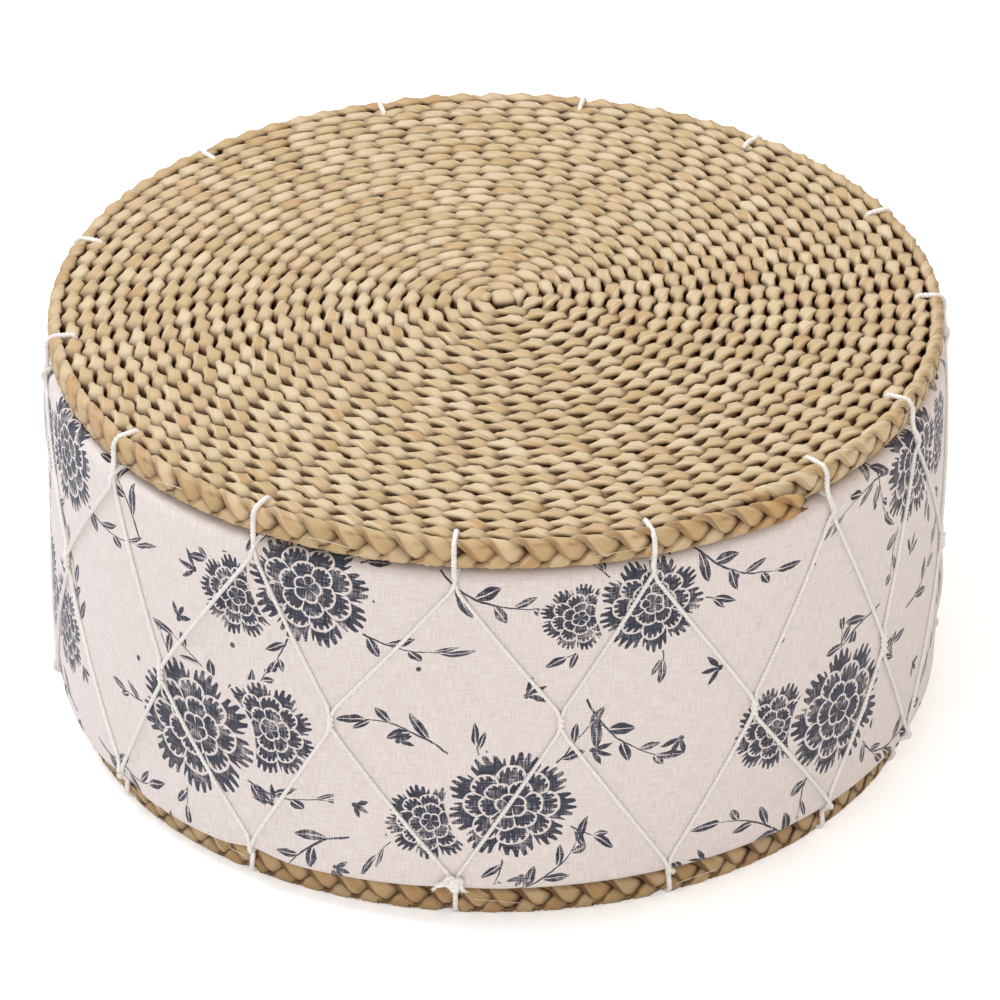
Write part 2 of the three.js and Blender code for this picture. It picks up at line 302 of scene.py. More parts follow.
for mat in (seatMat, baseMat):
    # the outer ring winds in by one pitch, so its middle lies half a pitch inside its end
    halfStrip = plait["sway"] + plait["halfThickness"]
    innerHalf = plait["startRadius"] / (2 * plait["rings"])
    mat["endRadius"] = (mat["rim"] - halfStrip - innerHalf) / (1 - 1 / (2 * plait["rings"]))
    mat["pitch"] = (mat["endRadius"] - plait["startRadius"]) / plait["rings"]
    mat["length"] = math.pi * (mat["endRadius"] + plait["startRadius"]) * plait["rings"]
    mat["pole"] = polar(mat["pitch"] / math.pi, mat["tailAngle"] + 90, 0)


def hookLean(k, side):
    # how far in millimetres a hook on the base is drawn aside of its cord
    return lacing["baseLeans"][k % hookCount] if side < 0 else 0


def ringRadius(mat, angle, ring):
    # distance from the pole to the middle of a ring, counted from 0 at the rim
    return mat["endRadius"] - mat["pitch"] * (ring + ((mat["tailAngle"] - angle) % 360) / 360)


tree, sizes = newTree("plaitedMat", {
    "From Length": "Float", "To Length": "Float", "Mat Length": "Float", "Points": "Int",
    "Points Around": "Int", "Start Radius": "Float", "End Radius": "Float",
    "Ring Pitch": "Float", "Tail Angle": "Float", "Pole": "Vector", "Low": "Float",
    "Height": "Float", "Turn Length": "Float", "Sway": "Float", "Sway Sharpness": "Float",
    "Rim Sharpness": "Float", "Rim Sway": "Float", "Rim Proud": "Float", "Floor": "Float",
    "Heart Shift": "Vector", "Half Width": "Float", "Face Widen": "Float", "Overlap": "Float",
    "Half Thickness": "Float", "Section": "Vector", "Flare": "Float",
    "Taper Length": "Float", "Wander": "Float", "Free Side": "Float",
    "Hook Dip": "Float", "Hook Lines": "Object", "Seed": "Float", "Rush": "Material",
}, {"Mat": "Geometry"})
# three straight rods, one for each strand, whose points move onto the plait
rod = addNode(tree, "GeometryNodeMeshCylinder", sizes["Points Around"], sizes["Points"], 1,
              1.0, 2.0, output=None)
copies = addNode(tree, "GeometryNodeGeometryToInstance", rod["Mesh"])
copies = addNode(tree, "GeometryNodeDuplicateElements", copies, True, 3, domain="INSTANCE",
                 output=None)
strands = addNode(tree, "GeometryNodeStoreNamedAttribute", copies["Geometry"], None, "strand",
                  copies["Duplicate Index"], data_type="FLOAT", domain="INSTANCE")
strands = addNode(tree, "GeometryNodeRealizeInstances", strands)
strand = addNode(tree, "GeometryNodeInputNamedAttribute", "strand", data_type="FLOAT")
place = addNode(tree, "GeometryNodeInputPosition")
onRod = addNode(tree, "ShaderNodeSeparateXYZ", place, output=None)
length = addNode(tree, "ShaderNodeMapRange", onRod["Z"], -1.0, 1.0, sizes["From Length"],
                 sizes["To Length"], clamp=False)

# spiral radius and turn at that length of plait
square = addNode(tree, "ShaderNodeMath", sizes["Start Radius"], 2.0, operation="POWER")
grown = addNode(tree, "ShaderNodeMath", length, sizes["Ring Pitch"], operation="MULTIPLY")
square = addNode(tree, "ShaderNodeMath", grown, 1 / math.pi, square, operation="MULTIPLY_ADD")
radius = addNode(tree, "ShaderNodeMath", square, operation="SQRT")
behind = addNode(tree, "ShaderNodeMath", radius, sizes["End Radius"], operation="SUBTRACT")
turn = addNode(tree, "ShaderNodeMath", behind, sizes["Ring Pitch"], operation="DIVIDE")
turn = addNode(tree, "ShaderNodeMath", turn, tau, sizes["Tail Angle"], operation="MULTIPLY_ADD")

# hand work: each strand's phase, width and height wander slowly
spread = addNode(tree, "ShaderNodeCombineXYZ",
                 addNode(tree, "ShaderNodeMath", length, 1 / (plait["wanderLength"] * mm),
                         operation="MULTIPLY"),
                 addNode(tree, "ShaderNodeMath", strand, 7.3, operation="MULTIPLY"),
                 sizes["Seed"])
uneven = addNode(tree, "ShaderNodeTexNoise", output="Color",
                 sockets={"Vector": spread, "Scale": 1.0, "Detail": 1.0})
uneven = addNode(tree, "ShaderNodeVectorMath", uneven, (0.5, 0.5, 0.5), operation="SUBTRACT")
uneven = addNode(tree, "ShaderNodeVectorMath", uneven, sockets={"Scale": sizes["Wander"]},
                 operation="SCALE")
uneven = addNode(tree, "ShaderNodeSeparateXYZ", uneven, output=None)

phase = addNode(tree, "ShaderNodeMath", length, sizes["Turn Length"], operation="DIVIDE")
phase = addNode(tree, "ShaderNodeMath", strand, 1 / 3, phase, operation="MULTIPLY_ADD")
phase = addNode(tree, "ShaderNodeMath", uneven["X"], 0.35, phase, operation="MULTIPLY_ADD")
lobe = addNode(tree, "ShaderNodeMath", phase, 0.25)
lobe = addNode(tree, "ShaderNodeMath", lobe, operation="FLOOR")
lobe = addNode(tree, "ShaderNodeMath", lobe, 3.0, strand, operation="MULTIPLY_ADD")
strands = addNode(tree, "GeometryNodeStoreNamedAttribute", strands, None, "lobe", lobe,
                  data_type="FLOAT", domain="POINT")
phase = addNode(tree, "ShaderNodeMath", phase, tau, operation="MULTIPLY")

# the tail thins out and tucks under its neighbour
left = addNode(tree, "ShaderNodeMath", sizes["Mat Length"], length, operation="SUBTRACT")
left = addNode(tree, "ShaderNodeMath", left, sizes["Taper Length"], operation="DIVIDE")
taper = addNode(tree, "ShaderNodeMapRange", left, 0.0, 1.0, 0.74, 1.0,
                interpolation_type="SMOOTHSTEP")
tail = addNode(tree, "ShaderNodeMapRange", left, 0.3, 0.9, 1.0, 0.0,
               interpolation_type="SMOOTHSTEP")
strands = addNode(tree, "GeometryNodeStoreNamedAttribute", strands, None, "tail", tail,
                  data_type="FLOAT", domain="POINT")
tip = addNode(tree, "ShaderNodeMapRange", left, 0.0, 0.12, 0.15, 1.0,
              interpolation_type="SMOOTHSTEP")
begun = addNode(tree, "ShaderNodeMapRange", length, 0.0, 0.009, 0.35, 1.0,
                interpolation_type="SMOOTHSTEP")
taper = addNode(tree, "ShaderNodeMath", taper, begun, operation="MULTIPLY")
ends = addNode(tree, "ShaderNodeMath", tip, begun, operation="MULTIPLY")

# the outer ring has a flatter face: one where the plait is on it, nought inside
lastRing = addNode(tree, "ShaderNodeMath", sizes["End Radius"], -tau, sizes["Mat Length"],
                   operation="MULTIPLY_ADD")
beforeLast = addNode(tree, "ShaderNodeMath", lastRing, 60 * mm, operation="SUBTRACT")
onRim = addNode(tree, "ShaderNodeMapRange", length, beforeLast, lastRing)
sharpness = addNode(tree, "ShaderNodeMapRange", onRim, 0.0, 1.0, sizes["Sway Sharpness"],
                    sizes["Rim Sharpness"])
leanFrom = addNode(tree, "ShaderNodeMapRange", onRim, 0.0, 1.0, 0.45, 0.0)
leanTo = addNode(tree, "ShaderNodeMapRange", onRim, 0.0, 1.0, 1.0, 0.8)

# path of one strand: across the plait once and through it twice in a turn
sinPhase = addNode(tree, "ShaderNodeMath", phase, operation="SINE")
cosPhase = addNode(tree, "ShaderNodeMath", phase, operation="COSINE")
double = addNode(tree, "ShaderNodeMath", phase, 2.0, operation="MULTIPLY")
sinDouble = addNode(tree, "ShaderNodeMath", double, operation="SINE")
cosDouble = addNode(tree, "ShaderNodeMath", double, operation="COSINE")

halfHigh = addNode(tree, "ShaderNodeMath", sizes["Height"], 0.5, operation="MULTIPLY")
rise = addNode(tree, "ShaderNodeMath", halfHigh, sizes["Half Thickness"], operation="SUBTRACT")
rise = addNode(tree, "ShaderNodeMath", rise, taper, operation="MULTIPLY")
sway = addNode(tree, "ShaderNodeMapRange", onRim, 0.0, 1.0, sizes["Sway"], sizes["Rim Sway"])
sway = addNode(tree, "ShaderNodeMath", sway, taper, operation="MULTIPLY")
# a quick change from face to face: sin / root(sin squared + sharpness squared)
squared = addNode(tree, "ShaderNodeMath", sharpness, 2.0, operation="POWER")
squared = addNode(tree, "ShaderNodeMath", sinDouble, sinDouble, squared,
                  operation="MULTIPLY_ADD")
rooted = addNode(tree, "ShaderNodeMath", squared, operation="SQRT")
outward = addNode(tree, "ShaderNodeMath", sinDouble, rooted, operation="DIVIDE")
outward = addNode(tree, "ShaderNodeMath", outward, -1.0, operation="MULTIPLY")
outward = addNode(tree, "ShaderNodeMath", outward, sway, operation="MULTIPLY")
upward = addNode(tree, "ShaderNodeMath", sinDouble, sizes["Overlap"], sinPhase,
                 operation="MULTIPLY_ADD")
upward = addNode(tree, "ShaderNodeMath", upward, rise, operation="MULTIPLY")

# direction of the strand, then its flat side's normal and its width across
perLength = addNode(tree, "ShaderNodeMath", tau, sizes["Turn Length"], operation="DIVIDE")
outSlope = addNode(tree, "ShaderNodeMath", cosDouble, -2.0, operation="MULTIPLY")
outSlope = addNode(tree, "ShaderNodeMath", outSlope, sway, operation="MULTIPLY")
steep = addNode(tree, "ShaderNodeMath", squared, 1.5, operation="POWER")
steep = addNode(tree, "ShaderNodeMath", sharpness, steep, operation="DIVIDE")
steep = addNode(tree, "ShaderNodeMath", steep, sharpness, operation="MULTIPLY")
outSlope = addNode(tree, "ShaderNodeMath", outSlope, steep, operation="MULTIPLY")
outSlope = addNode(tree, "ShaderNodeMath", outSlope, perLength, operation="MULTIPLY")
upSlope = addNode(tree, "ShaderNodeMath", cosDouble, 2.0, operation="MULTIPLY")
upSlope = addNode(tree, "ShaderNodeMath", upSlope, sizes["Overlap"], cosPhase,
                  operation="MULTIPLY_ADD")
upSlope = addNode(tree, "ShaderNodeMath", upSlope, rise, operation="MULTIPLY")
upSlope = addNode(tree, "ShaderNodeMath", upSlope, perLength, operation="MULTIPLY")
ahead = addNode(tree, "ShaderNodeCombineXYZ", outSlope, 1.0, upSlope)
ahead = addNode(tree, "ShaderNodeVectorMath", ahead, operation="NORMALIZE")
lean = addNode(tree, "ShaderNodeMath", cosPhase, operation="ABSOLUTE")
lean = addNode(tree, "ShaderNodeMapRange", lean, leanFrom, leanTo)
rising = addNode(tree, "ShaderNodeMath", cosPhase, operation="SIGN")
lean = addNode(tree, "ShaderNodeMath", lean, rising, operation="MULTIPLY")
lean = addNode(tree, "ShaderNodeMath", lean, math.pi / 2, math.pi / 2, operation="MULTIPLY_ADD")
facing = addNode(tree, "ShaderNodeCombineXYZ",
                 addNode(tree, "ShaderNodeMath", lean, operation="COSINE"), 0.0,
                 addNode(tree, "ShaderNodeMath", lean, operation="SINE"))
across = addNode(tree, "ShaderNodeVectorMath", facing, ahead, operation="CROSS_PRODUCT")
across = addNode(tree, "ShaderNodeVectorMath", across, operation="NORMALIZE")
facing = addNode(tree, "ShaderNodeVectorMath", ahead, across, operation="CROSS_PRODUCT")

# folded ribbon section: a rounded oblong, a little uneven, narrower where a lobe begins
section = addNode(tree, "ShaderNodeVectorMath", place, operation="ABSOLUTE")
section = addNode(tree, "ShaderNodeVectorMath", section, sizes["Section"], operation="POWER")
signs = addNode(tree, "ShaderNodeVectorMath", place, operation="SIGN")
section = addNode(tree, "ShaderNodeVectorMath", section, signs, operation="MULTIPLY")
section = addNode(tree, "ShaderNodeSeparateXYZ", section, output=None)
flare = addNode(tree, "ShaderNodeMath", sinDouble, sizes["Flare"], operation="MULTIPLY")
flare = addNode(tree, "ShaderNodeMath", 1.0, flare, operation="SUBTRACT")
wide = addNode(tree, "ShaderNodeMath", uneven["Y"], 0.6, 1.0, operation="MULTIPLY_ADD")
wide = addNode(tree, "ShaderNodeMath", wide, sizes["Half Width"], operation="MULTIPLY")
flank = addNode(tree, "ShaderNodeMath", cosPhase, 2.0, operation="POWER")
flank = addNode(tree, "ShaderNodeMath", flank, sizes["Face Widen"], 1.0,
                operation="MULTIPLY_ADD")
wide = addNode(tree, "ShaderNodeMath", wide, flank, operation="MULTIPLY")
wide = addNode(tree, "ShaderNodeMath", wide, flare, operation="MULTIPLY")
wide = addNode(tree, "ShaderNodeMath", wide, taper, operation="MULTIPLY")
wide = addNode(tree, "ShaderNodeMath", wide, ends, operation="MULTIPLY")
thick = addNode(tree, "ShaderNodeMath", sizes["Half Thickness"], ends, operation="MULTIPLY")
wide = addNode(tree, "ShaderNodeMath", section["X"], wide, operation="MULTIPLY")
thick = addNode(tree, "ShaderNodeMath", section["Y"], thick, operation="MULTIPLY")
skin = addNode(tree, "ShaderNodeVectorMath", across, sockets={"Scale": wide}, operation="SCALE")
face = addNode(tree, "ShaderNodeVectorMath", facing, sockets={"Scale": thick}, operation="SCALE")
skin = addNode(tree, "ShaderNodeVectorMath", skin, face)

# how far a point lies inside the plait, from its top and bottom and, on the outer ring, its rim
lift = addNode(tree, "ShaderNodeSeparateXYZ", skin, output=None)
inZ = addNode(tree, "ShaderNodeMath", lift["Z"], upward)
inZ = addNode(tree, "ShaderNodeMath", inZ, operation="ABSOLUTE")
deep = addNode(tree, "ShaderNodeMath", halfHigh, taper, operation="MULTIPLY")
deep = addNode(tree, "ShaderNodeMath", deep, inZ, operation="SUBTRACT")
toRim = addNode(tree, "ShaderNodeMath", lift["X"], outward)
toRim = addNode(tree, "ShaderNodeMath", sizes["Half Thickness"], toRim, operation="SUBTRACT")
toRim = addNode(tree, "ShaderNodeMath", toRim, sizes["Sway"])
toRim = addNode(tree, "ShaderNodeMath", toRim, 1.6, operation="MULTIPLY")
within = addNode(tree, "ShaderNodeMath", onRim, 1.0, operation="LESS_THAN")
toRim = addNode(tree, "ShaderNodeMath", within, 0.1, toRim, operation="MULTIPLY_ADD")
deep = addNode(tree, "ShaderNodeMath", deep, toRim, operation="MINIMUM")
# painted shade: the rush material darkens a point the deeper it lies
strands = addNode(tree, "GeometryNodeStoreNamedAttribute", strands, None, "deep", deep,
                  data_type="FLOAT", domain="POINT")

# the outer ring's face is pressed flat and its low edge turned under
above = addNode(tree, "ShaderNodeMath", lift["Z"], upward)
above = addNode(tree, "ShaderNodeMath", above, halfHigh)
turnedUnder = addNode(tree, "ShaderNodeMapRange", above, plait["underFrom"] * mm,
                      plait["underTo"] * mm, plait["turnedUnder"] * mm, 0.0,
                      interpolation_type="SMOOTHSTEP")
limit = addNode(tree, "ShaderNodeMath", sizes["Rim Proud"], turnedUnder, operation="SUBTRACT")
limit = addNode(tree, "ShaderNodeMapRange", onRim, 0.0, 1.0, 12 * mm, limit)
proud = addNode(tree, "ShaderNodeMath", lift["X"], outward)
pressed = addNode(tree, "ShaderNodeMath", proud, limit, plait["pressEase"] * mm,
                  operation="SMOOTH_MIN")
pressed = addNode(tree, "ShaderNodeMath", pressed, proud, operation="SUBTRACT")
pressed = addNode(tree, "ShaderNodeCombineXYZ", pressed, 0.0, 0.0)

# level of the plait: middle of the mat, a slow wave, and lower where it thins at the tail
wave = addNode(tree, "ShaderNodeMath", uneven["Z"], plait["wave"] * mm, operation="MULTIPLY")
level = addNode(tree, "ShaderNodeMath", sizes["Low"], halfHigh)
level = addNode(tree, "ShaderNodeMath", level, wave)
thinned = addNode(tree, "ShaderNodeMath", 1.0, taper, operation="SUBTRACT")
drop = addNode(tree, "ShaderNodeMath", thinned, -plait["tailDrop"] * mm, operation="MULTIPLY")
drop = addNode(tree, "ShaderNodeMath", drop, sizes["Free Side"], operation="MULTIPLY")
level = addNode(tree, "ShaderNodeMath", level, drop)
tuck = addNode(tree, "ShaderNodeMath", thinned, plait["tailTuck"] * mm, radius,
               operation="MULTIPLY_ADD")
centre = addNode(tree, "ShaderNodeCombineXYZ",
                 addNode(tree, "ShaderNodeMath", tuck, outward), 0.0,
                 addNode(tree, "ShaderNodeMath", level, upward))
point = addNode(tree, "ShaderNodeVectorMath", centre, skin)
point = addNode(tree, "ShaderNodeVectorMath", point, pressed)
point = addNode(tree, "ShaderNodeVectorRotate", point,
                sockets={"Angle": turn}, rotation_type="Z_AXIS")
point = addNode(tree, "ShaderNodeVectorMath", point, sizes["Pole"])
inward = addNode(tree, "ShaderNodeMath", radius, sizes["End Radius"], operation="DIVIDE")
inward = addNode(tree, "ShaderNodeMath", 1.0, inward, operation="SUBTRACT")
inward = addNode(tree, "ShaderNodeMath", inward, 2.0, operation="POWER")
shift = addNode(tree, "ShaderNodeVectorMath", sizes["Heart Shift"], sockets={"Scale": inward},
                operation="SCALE")
point = addNode(tree, "ShaderNodeVectorMath", point, shift)

# the cord's hooks press the free side in
lines = addNode(tree, "GeometryNodeObjectInfo", sizes["Hook Lines"], output="Geometry")
split = addNode(tree, "ShaderNodeSeparateXYZ", point, output=None)
flat = addNode(tree, "ShaderNodeCombineXYZ", split["X"], split["Y"], 0.0)
near = addNode(tree, "GeometryNodeProximity", lines, output="Distance", target_element="EDGES",
               sockets={"Sample Position": flat})
press = addNode(tree, "ShaderNodeMapRange", near, 0.0, plait["hookReach"] * mm, 1.0, 0.0,
                interpolation_type="SMOOTHSTEP")
free = addNode(tree, "ShaderNodeMath", split["Z"], level, operation="SUBTRACT")
free = addNode(tree, "ShaderNodeMath", free, sizes["Free Side"], operation="MULTIPLY")
free = addNode(tree, "ShaderNodeMapRange", free, -2 * mm, plait["hookReach"] * mm)
press = addNode(tree, "ShaderNodeMath", press, free, operation="MULTIPLY")
press = addNode(tree, "ShaderNodeMath", press, sizes["Hook Dip"], operation="MULTIPLY")
press = addNode(tree, "ShaderNodeMath", press, sizes["Free Side"], operation="MULTIPLY")
press = addNode(tree, "ShaderNodeCombineXYZ", 0.0, 0.0, press)
point = addNode(tree, "ShaderNodeVectorMath", point, press, operation="SUBTRACT")

# no point sinks below what the mat stands on
stands = addNode(tree, "ShaderNodeCombineXYZ", -10.0, -10.0, sizes["Floor"])
point = addNode(tree, "ShaderNodeVectorMath", point, stands, operation="MAXIMUM")

# what the rush material reads: length, place across and strand
fibre = addNode(tree, "ShaderNodeCombineXYZ", length, onRod["X"],
                addNode(tree, "ShaderNodeMath", strand, onRod["Y"]))
strands = addNode(tree, "GeometryNodeStoreNamedAttribute", strands, None, "fibre", fibre,
                  data_type="FLOAT_VECTOR", domain="POINT")
strands = addNode(tree, "GeometryNodeSetPosition", strands, None, point)
strands = addNode(tree, "GeometryNodeSetShadeSmooth", strands, rod["Side"], True)
strands = addNode(tree, "GeometryNodeSetMaterial", strands, None, sizes["Rush"])
addNode(tree, "NodeGroupOutput", strands, output=None)
matTree = tree

rush = {
    "pale": "#ddcaa8",
    "straw": "#c7ad82",
    "tan": "#bc8c55",
    "green": "#b3a97e",
    "pink": "#d6b49c",
    # painted shade in the gaps between strands, and the depth over which it falls
    "gap": "#5d3f1a",
    "gapShadeDepth": 3.3,
    # the outer ring's face: partly painted shade, partly its own colour
    "rimShadeAndTint": "#f4ebde",
    "edgeFrom": 218.0,
    "edgeTo": 225.0,
    # painted shade over the base mat, which sits in the drum's shadow
    "baseShade": "#dfd3c4",
    "baseBelow": 60.0,
    "toneLength": 40.0,
    "lobeChance": 0.25,
    "fibreLength": 26.0,
    "fibresAcross": 6.0,
    "edgeShade": "#93806a",
    "rimShade": 0.6,
    "tailTan": "#cda368",
    "tailShare": 0.6,
    "rib": 0.25,
    "roughness": 0.62,
}

# Plaited cat-tail rush, dried and braided damp: pale straw with tan, green and pink lengths,
# a dull waxy skin and fine ribs along each ribbon
rushSkin, tree = newMaterial("plaitedRush")
fibre = addNode(tree, "ShaderNodeAttribute", attribute_name="fibre", output="Vector")
alongFibre = addNode(tree, "ShaderNodeMapping", fibre, output=0,
                     sockets={"Scale": (1 / (rush["fibreLength"] * mm), rush["fibresAcross"],
                                        rush["fibresAcross"])})
streak = addNode(tree, "ShaderNodeTexNoise", output="Fac",
                 sockets={"Vector": alongFibre, "Scale": 1.0, "Detail": 2.0, "Roughness": 0.5})
lengths = addNode(tree, "ShaderNodeMapping", fibre,
                  sockets={"Scale": (1 / (rush["toneLength"] * mm), 0.05, 3.7)})
shade = addNode(tree, "ShaderNodeTexNoise", output="Color",
                sockets={"Vector": lengths, "Scale": 1.0, "Detail": 1.0})
lobe = addNode(tree, "ShaderNodeAttribute", attribute_name="lobe", output="Vector")
lobe = addNode(tree, "ShaderNodeTexWhiteNoise", lobe, output="Color")
lobe = addNode(tree, "ShaderNodeVectorMath", lobe, (0.5, 0.5, 0.5), operation="SUBTRACT")
lobe = addNode(tree, "ShaderNodeVectorMath", lobe, sockets={"Scale": rush["lobeChance"]},
               operation="SCALE")
shade = addNode(tree, "ShaderNodeVectorMath", shade, lobe)
hue = addNode(tree, "ShaderNodeSeparateXYZ", shade, output=None)
tone = addNode(tree, "ShaderNodeMapRange", hue["X"], 0.36, 0.64)
skinColour = addNode(tree, "ShaderNodeMixRGB", tone, colour(rush["straw"]), colour(rush["pale"]))
tanShare = addNode(tree, "ShaderNodeMapRange", hue["Y"], 0.54, 0.72, 0.0, 0.5)
skinColour = addNode(tree, "ShaderNodeMixRGB", tanShare, skinColour, colour(rush["tan"]))
greenShare = addNode(tree, "ShaderNodeMapRange", hue["Z"], 0.58, 0.72, 0.0, 0.3)
skinColour = addNode(tree, "ShaderNodeMixRGB", greenShare, skinColour, colour(rush["green"]))
pinkShare = addNode(tree, "ShaderNodeMapRange", hue["Z"], 0.42, 0.3, 0.0, 0.25)
skinColour = addNode(tree, "ShaderNodeMixRGB", pinkShare, skinColour, colour(rush["pink"]))
tail = addNode(tree, "ShaderNodeAttribute", attribute_name="tail", output="Fac")
tail = addNode(tree, "ShaderNodeMath", tail, rush["tailShare"], operation="MULTIPLY")
skinColour = addNode(tree, "ShaderNodeMixRGB", tail, skinColour, colour(rush["tailTan"]))
ribs = addNode(tree, "ShaderNodeMapRange", streak, 0.3, 0.7, 0.95, 1.02)
skinColour = addNode(tree, "ShaderNodeVectorMath", skinColour, sockets={"Scale": ribs},
                     operation="SCALE")
# painted shade: the deeper a point lies between the strands, the nearer its colour to the dark gap
# colour
deep = addNode(tree, "ShaderNodeAttribute", attribute_name="deep", output="Fac")
deep = addNode(tree, "ShaderNodeMapRange", deep, 0.2 * mm, rush["gapShadeDepth"] * mm,
               interpolation_type="SMOOTHSTEP")
gapShade = addNode(tree, "ShaderNodeMixRGB", deep, (1, 1, 1, 1), colour(rush["gap"]))
skinColour = addNode(tree, "ShaderNodeVectorMath", skinColour, gapShade, operation="MULTIPLY")
place = addNode(tree, "ShaderNodeTexCoord", output="Object")
split = addNode(tree, "ShaderNodeSeparateXYZ", place, output=None)
flat = addNode(tree, "ShaderNodeCombineXYZ", split["X"], split["Y"], 0.0)
flat = addNode(tree, "ShaderNodeVectorMath", flat, output="Value", operation="LENGTH")
# the outer ring's face darker towards the rim: partly painted shade, partly the ring's own colour
outer = addNode(tree, "ShaderNodeMapRange", flat, rush["edgeFrom"] * mm, rush["edgeTo"] * mm)
paintedShadeAndTint = addNode(tree, "ShaderNodeMixRGB", outer, (1, 1, 1, 1), colour(rush["rimShadeAndTint"]))
skinColour = addNode(tree, "ShaderNodeVectorMath", skinColour, paintedShadeAndTint, operation="MULTIPLY")
low = addNode(tree, "ShaderNodeMath", split["Z"], rush["baseBelow"] * mm, operation="LESS_THAN")
outer = addNode(tree, "ShaderNodeMath", outer, rush["rimShade"], operation="MULTIPLY")
outer = addNode(tree, "ShaderNodeMath", outer, low, operation="MAXIMUM")
beside = addNode(tree, "ShaderNodeSeparateXYZ", fibre, output="Y")
beside = addNode(tree, "ShaderNodeMath", beside, operation="ABSOLUTE")
beside = addNode(tree, "ShaderNodeMapRange", beside, 0.5, 1.0, interpolation_type="SMOOTHSTEP")
beside = addNode(tree, "ShaderNodeMath", beside, outer, operation="MULTIPLY")
beside = addNode(tree, "ShaderNodeMixRGB", beside, (1, 1, 1, 1), colour(rush["edgeShade"]))
skinColour = addNode(tree, "ShaderNodeVectorMath", skinColour, beside, operation="MULTIPLY")
# painted shade: the base mat darker and warmer all over, as in the drum's shadow
paintedShadeAndTint = addNode(tree, "ShaderNodeMixRGB", low, (1, 1, 1, 1), colour(rush["baseShade"]))
skinColour = addNode(tree, "ShaderNodeVectorMath", skinColour, paintedShadeAndTint, operation="MULTIPLY")
bump = addNode(tree, "ShaderNodeBump", 0.15, rush["rib"] * mm, sockets={"Height": streak})
skinShader = addNode(tree, "ShaderNodeBsdfPrincipled", sockets={
    "Base Color": skinColour, "Roughness": rush["roughness"], "Normal": bump,
    "Specular IOR Level": 0.35,
})
addNode(tree, "ShaderNodeOutputMaterial", skinShader, output=None)

matPieces = []
for mat in (seatMat, baseMat):
    rays = []
    for k in range(hookCount):
        angle = hookAngle(k, mat["free"])
        angle += math.degrees(hookLean(k, mat["free"]) / mat["rim"])
        outer = ringRadius(mat, angle, 0) + 6
        inner = ringRadius(mat, angle, 1) - mat["pitch"] / 2
        rays.append([polar(r * mm, angle, 0) + mat["pole"] * mm for r in (inner, outer)])
    lineMesh = bpy.data.meshes.new("hookLines")
    lineMesh.from_pydata([p for ray in rays for p in ray],
                         [(2 * i, 2 * i + 1) for i in range(len(rays))], [])
    lines = bpy.data.objects.new("hookLines", lineMesh)
    scene.collection.objects.link(lines)
    carrier = bpy.data.objects.new("carrier", bpy.data.meshes.new("carrier"))
    scene.collection.objects.link(carrier)
    for part, steps in enumerate(mat["steps"]):
        begin, end = mat["shares"][part:part + 2]
        stretch = (end - begin) * mat["length"]
        mesh = runTree(matTree, carrier, {
            "From Length": begin * mat["length"] * mm, "To Length": end * mat["length"] * mm,
            "Mat Length": mat["length"] * mm,
            "Points": round(stretch / plait["turnLength"] * steps),
            "Points Around": mat["around"][part], "Start Radius": plait["startRadius"] * mm,
            "End Radius": mat["endRadius"] * mm, "Ring Pitch": mat["pitch"] * mm,
            "Tail Angle": math.radians(mat["tailAngle"]), "Pole": [x * mm for x in mat["pole"]],
            "Low": mat["low"] * mm, "Height": matHeight * mm,
            "Turn Length": plait["turnLength"] * mm, "Sway": plait["sway"] * mm,
            "Sway Sharpness": plait["swaySharpness"], "Rim Sharpness": plait["rimSharpness"],
            "Rim Sway": plait["rimSway"] * mm, "Rim Proud": plait["rimProud"] * mm,
            "Floor": mat["low"] * mm,
            "Heart Shift": [(x - y) * mm for x, y in zip((*mat["heart"], 0), mat["pole"])],
            "Half Width": plait["halfWidth"] * mm, "Face Widen": plait["faceWiden"],
            "Overlap": plait["overlap"],
            "Half Thickness": plait["halfThickness"] * mm, "Section": plait["section"],
            "Flare": plait["flare"],
            "Taper Length": plait["taperLength"] * mm, "Wander": plait["wander"],
            "Free Side": float(mat["free"]), "Hook Dip": mat["dip"] * mm, "Hook Lines": lines,
            "Seed": mat["seed"], "Rush": rushSkin,
        })
        matPieces.append(makePiece(f"{mat['name']}_{part + 1}", mesh, rushSkin, "plaited_rush",
                                   mat["node"]))
        print(matPieces[-1].name, len(mesh.polygons), "faces")
    bpy.data.objects.remove(lines)
    bpy.data.objects.remove(carrier)

# Hearts of the mats: the plait's first end folded into a rounded lobe, a smaller one beside it

heart = {
    # place from the heart in x and y, half sizes in x, y and z, turn in degrees
    "lobes": [(0.3, -0.8, 6.3, 7.4, 5.2, 12.0), (-8.1, -1.8, 2.8, 4.8, 4.6, -18.0)],
    "squareness": 0.55,
    "rise": 0.9,
    "tone": 0.9,
    "rings": 14,
    "sides": 28,
}


